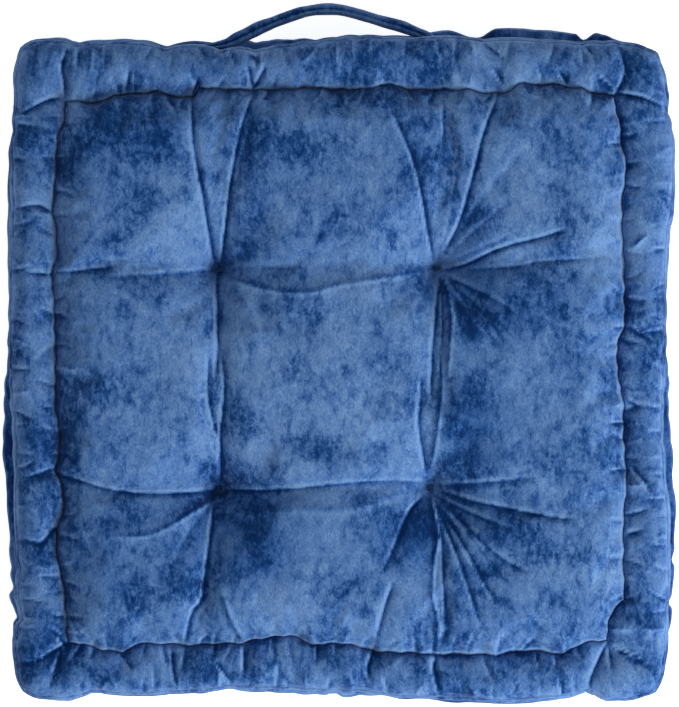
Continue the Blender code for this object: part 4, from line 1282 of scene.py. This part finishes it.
def core_block():
    """One closed block of fibre just inside both covers."""
    keep = slice(TOP_MARGIN, -TOP_MARGIN, CORE_STEP)
    upper = TOP.copy()
    upper[..., 2] = lowest_near(TOP[..., 2], 5) - CORE_GAP
    upper = upper[keep, keep]
    rows = upper.shape[0]
    under_lines = np.linspace(BOTTOM_LINES[BOTTOM_MARGIN], BOTTOM_LINES[-1 - BOTTOM_MARGIN], rows)
    index = np.searchsorted(BOTTOM_LINES, under_lines)
    under = BOTTOM.copy()
    under[..., 2] = -lowest_near(-BOTTOM[..., 2], 3) + CORE_GAP
    under = under[np.ix_(index, index)]
    under[..., :2] = upper[..., :2]
    points = upper.reshape(-1, 3).tolist() + under.reshape(-1, 3).tolist()
    quads = grid_quads(rows, rows)
    below = rows * rows
    faces = quads.tolist() + (quads[:, ::-1] + below).tolist()
    rim = around(np.arange(below).reshape(rows, rows)).tolist()
    for here, after in zip(rim, rim[1:] + rim[:1]):
        faces.append((here, here + below, after + below, after))
    return mesh_piece("core_fibre", points, faces, FIBRE)


def roll_rope(name, height, half_height, half_width, stand_out):
    """The rope of fibre that fills one roll."""
    lines = np.linspace(-ROLL_MIDDLE, ROLL_MIDDLE, ROPE_LINES)
    loop = around(np.stack(np.meshgrid(lines, lines), axis=-1))
    rings = []
    for i in range(ROPE_SIDES):
        angle = 2 * math.pi * i / ROPE_SIDES
        share = (ROLL_MIDDLE + half_width * math.cos(angle)) / ROLL_MIDDLE
        x, y = place(loop[:, 0] * share, loop[:, 1] * share, stand_out)
        rings.append(np.stack([x, y, np.full_like(x, height + half_height * math.sin(angle))], axis=-1))
    faces = ring_faces(ROPE_SIDES, len(loop), closed=True)
    return mesh_piece(name, np.array(rings).reshape(-1, 3).tolist(), faces, FIBRE)


FILLS = {
    "core_fill": core_block(),
    "top_roll_fill": roll_rope("top_roll_fibre", 0.0815, 0.0075, 0.0085, 0.0),
    "bottom_roll_fill": roll_rope("bottom_roll_fibre", 0.0200, 0.0110, 0.0085, 0.001),
}
for node, fill_piece in FILLS.items():
    stands_for(fill_piece, node)

# Stage and camera

CAMERA_AT = Vector((-0.0019, 0.0112))
CAMERA_HEIGHT = 6.0
SENSOR_WIDTH = 36.0
VIEW_HEIGHT = 0.5437  # metres that the picture's height takes in at VIEW_Z
VIEW_Z = 0.09
FLOOR_Z = -0.0008
LIT_POINT = Vector((0.0, 0.0, 0.05))
LIGHTS = (  # (name, place in metres, size in metres, power in watts)
    ("key", (1.8, -1.5, 1.25), 1.0, 85),
    ("top_fill", (-0.3, 0.3, 2.6), 2.0, 6),
)


def add_camera():
    data = bpy.data.cameras.new("camera")
    data.sensor_width = SENSOR_WIDTH
    data.lens = SENSOR_WIDTH * (CAMERA_HEIGHT - VIEW_Z) / VIEW_HEIGHT
    camera = bpy.data.objects.new("camera", data)
    camera.location = (CAMERA_AT.x, CAMERA_AT.y, CAMERA_HEIGHT)
    bpy.context.scene.collection.objects.link(camera)
    bpy.context.scene.camera = camera


def add_light(name, location, size, power):
    data = bpy.data.lights.new(name, "AREA")
    data.size = size
    data.energy = power
    light = bpy.data.objects.new(name, data)
    light.location = location
    light.rotation_euler = (LIT_POINT - light.location).to_track_quat("-Z", "Y").to_euler()
    bpy.context.scene.collection.objects.link(light)


def add_floor():
    bpy.ops.mesh.primitive_plane_add(size=8.0, location=(0.0, 0.0, FLOOR_Z))
    floor = bpy.context.active_object
    floor.name = "floor"
    material, _, shader = new_material("pale_floor")
    shader.inputs["Base Color"].default_value = (0.93, 0.93, 0.93, 1.0)
    shader.inputs["Roughness"].default_value = 0.9
    shader.inputs["Emission Color"].default_value = (1.0, 1.0, 1.0, 1.0)
    shader.inputs["Emission Strength"].default_value = 0.7
    floor.data.materials.append(material)


def add_world():
    world = bpy.data.worlds.new("studio")
    world.use_nodes = True
    background = world.node_tree.nodes["Background"]
    background.inputs["Color"].default_value = (1.0, 1.0, 1.0, 1.0)
    background.inputs["Strength"].default_value = 0.45
    bpy.context.scene.world = world


add_camera()
add_floor()
add_world()
for light in LIGHTS:
    add_light(*light)
bpy.context.scene.view_settings.view_transform = "Standard"
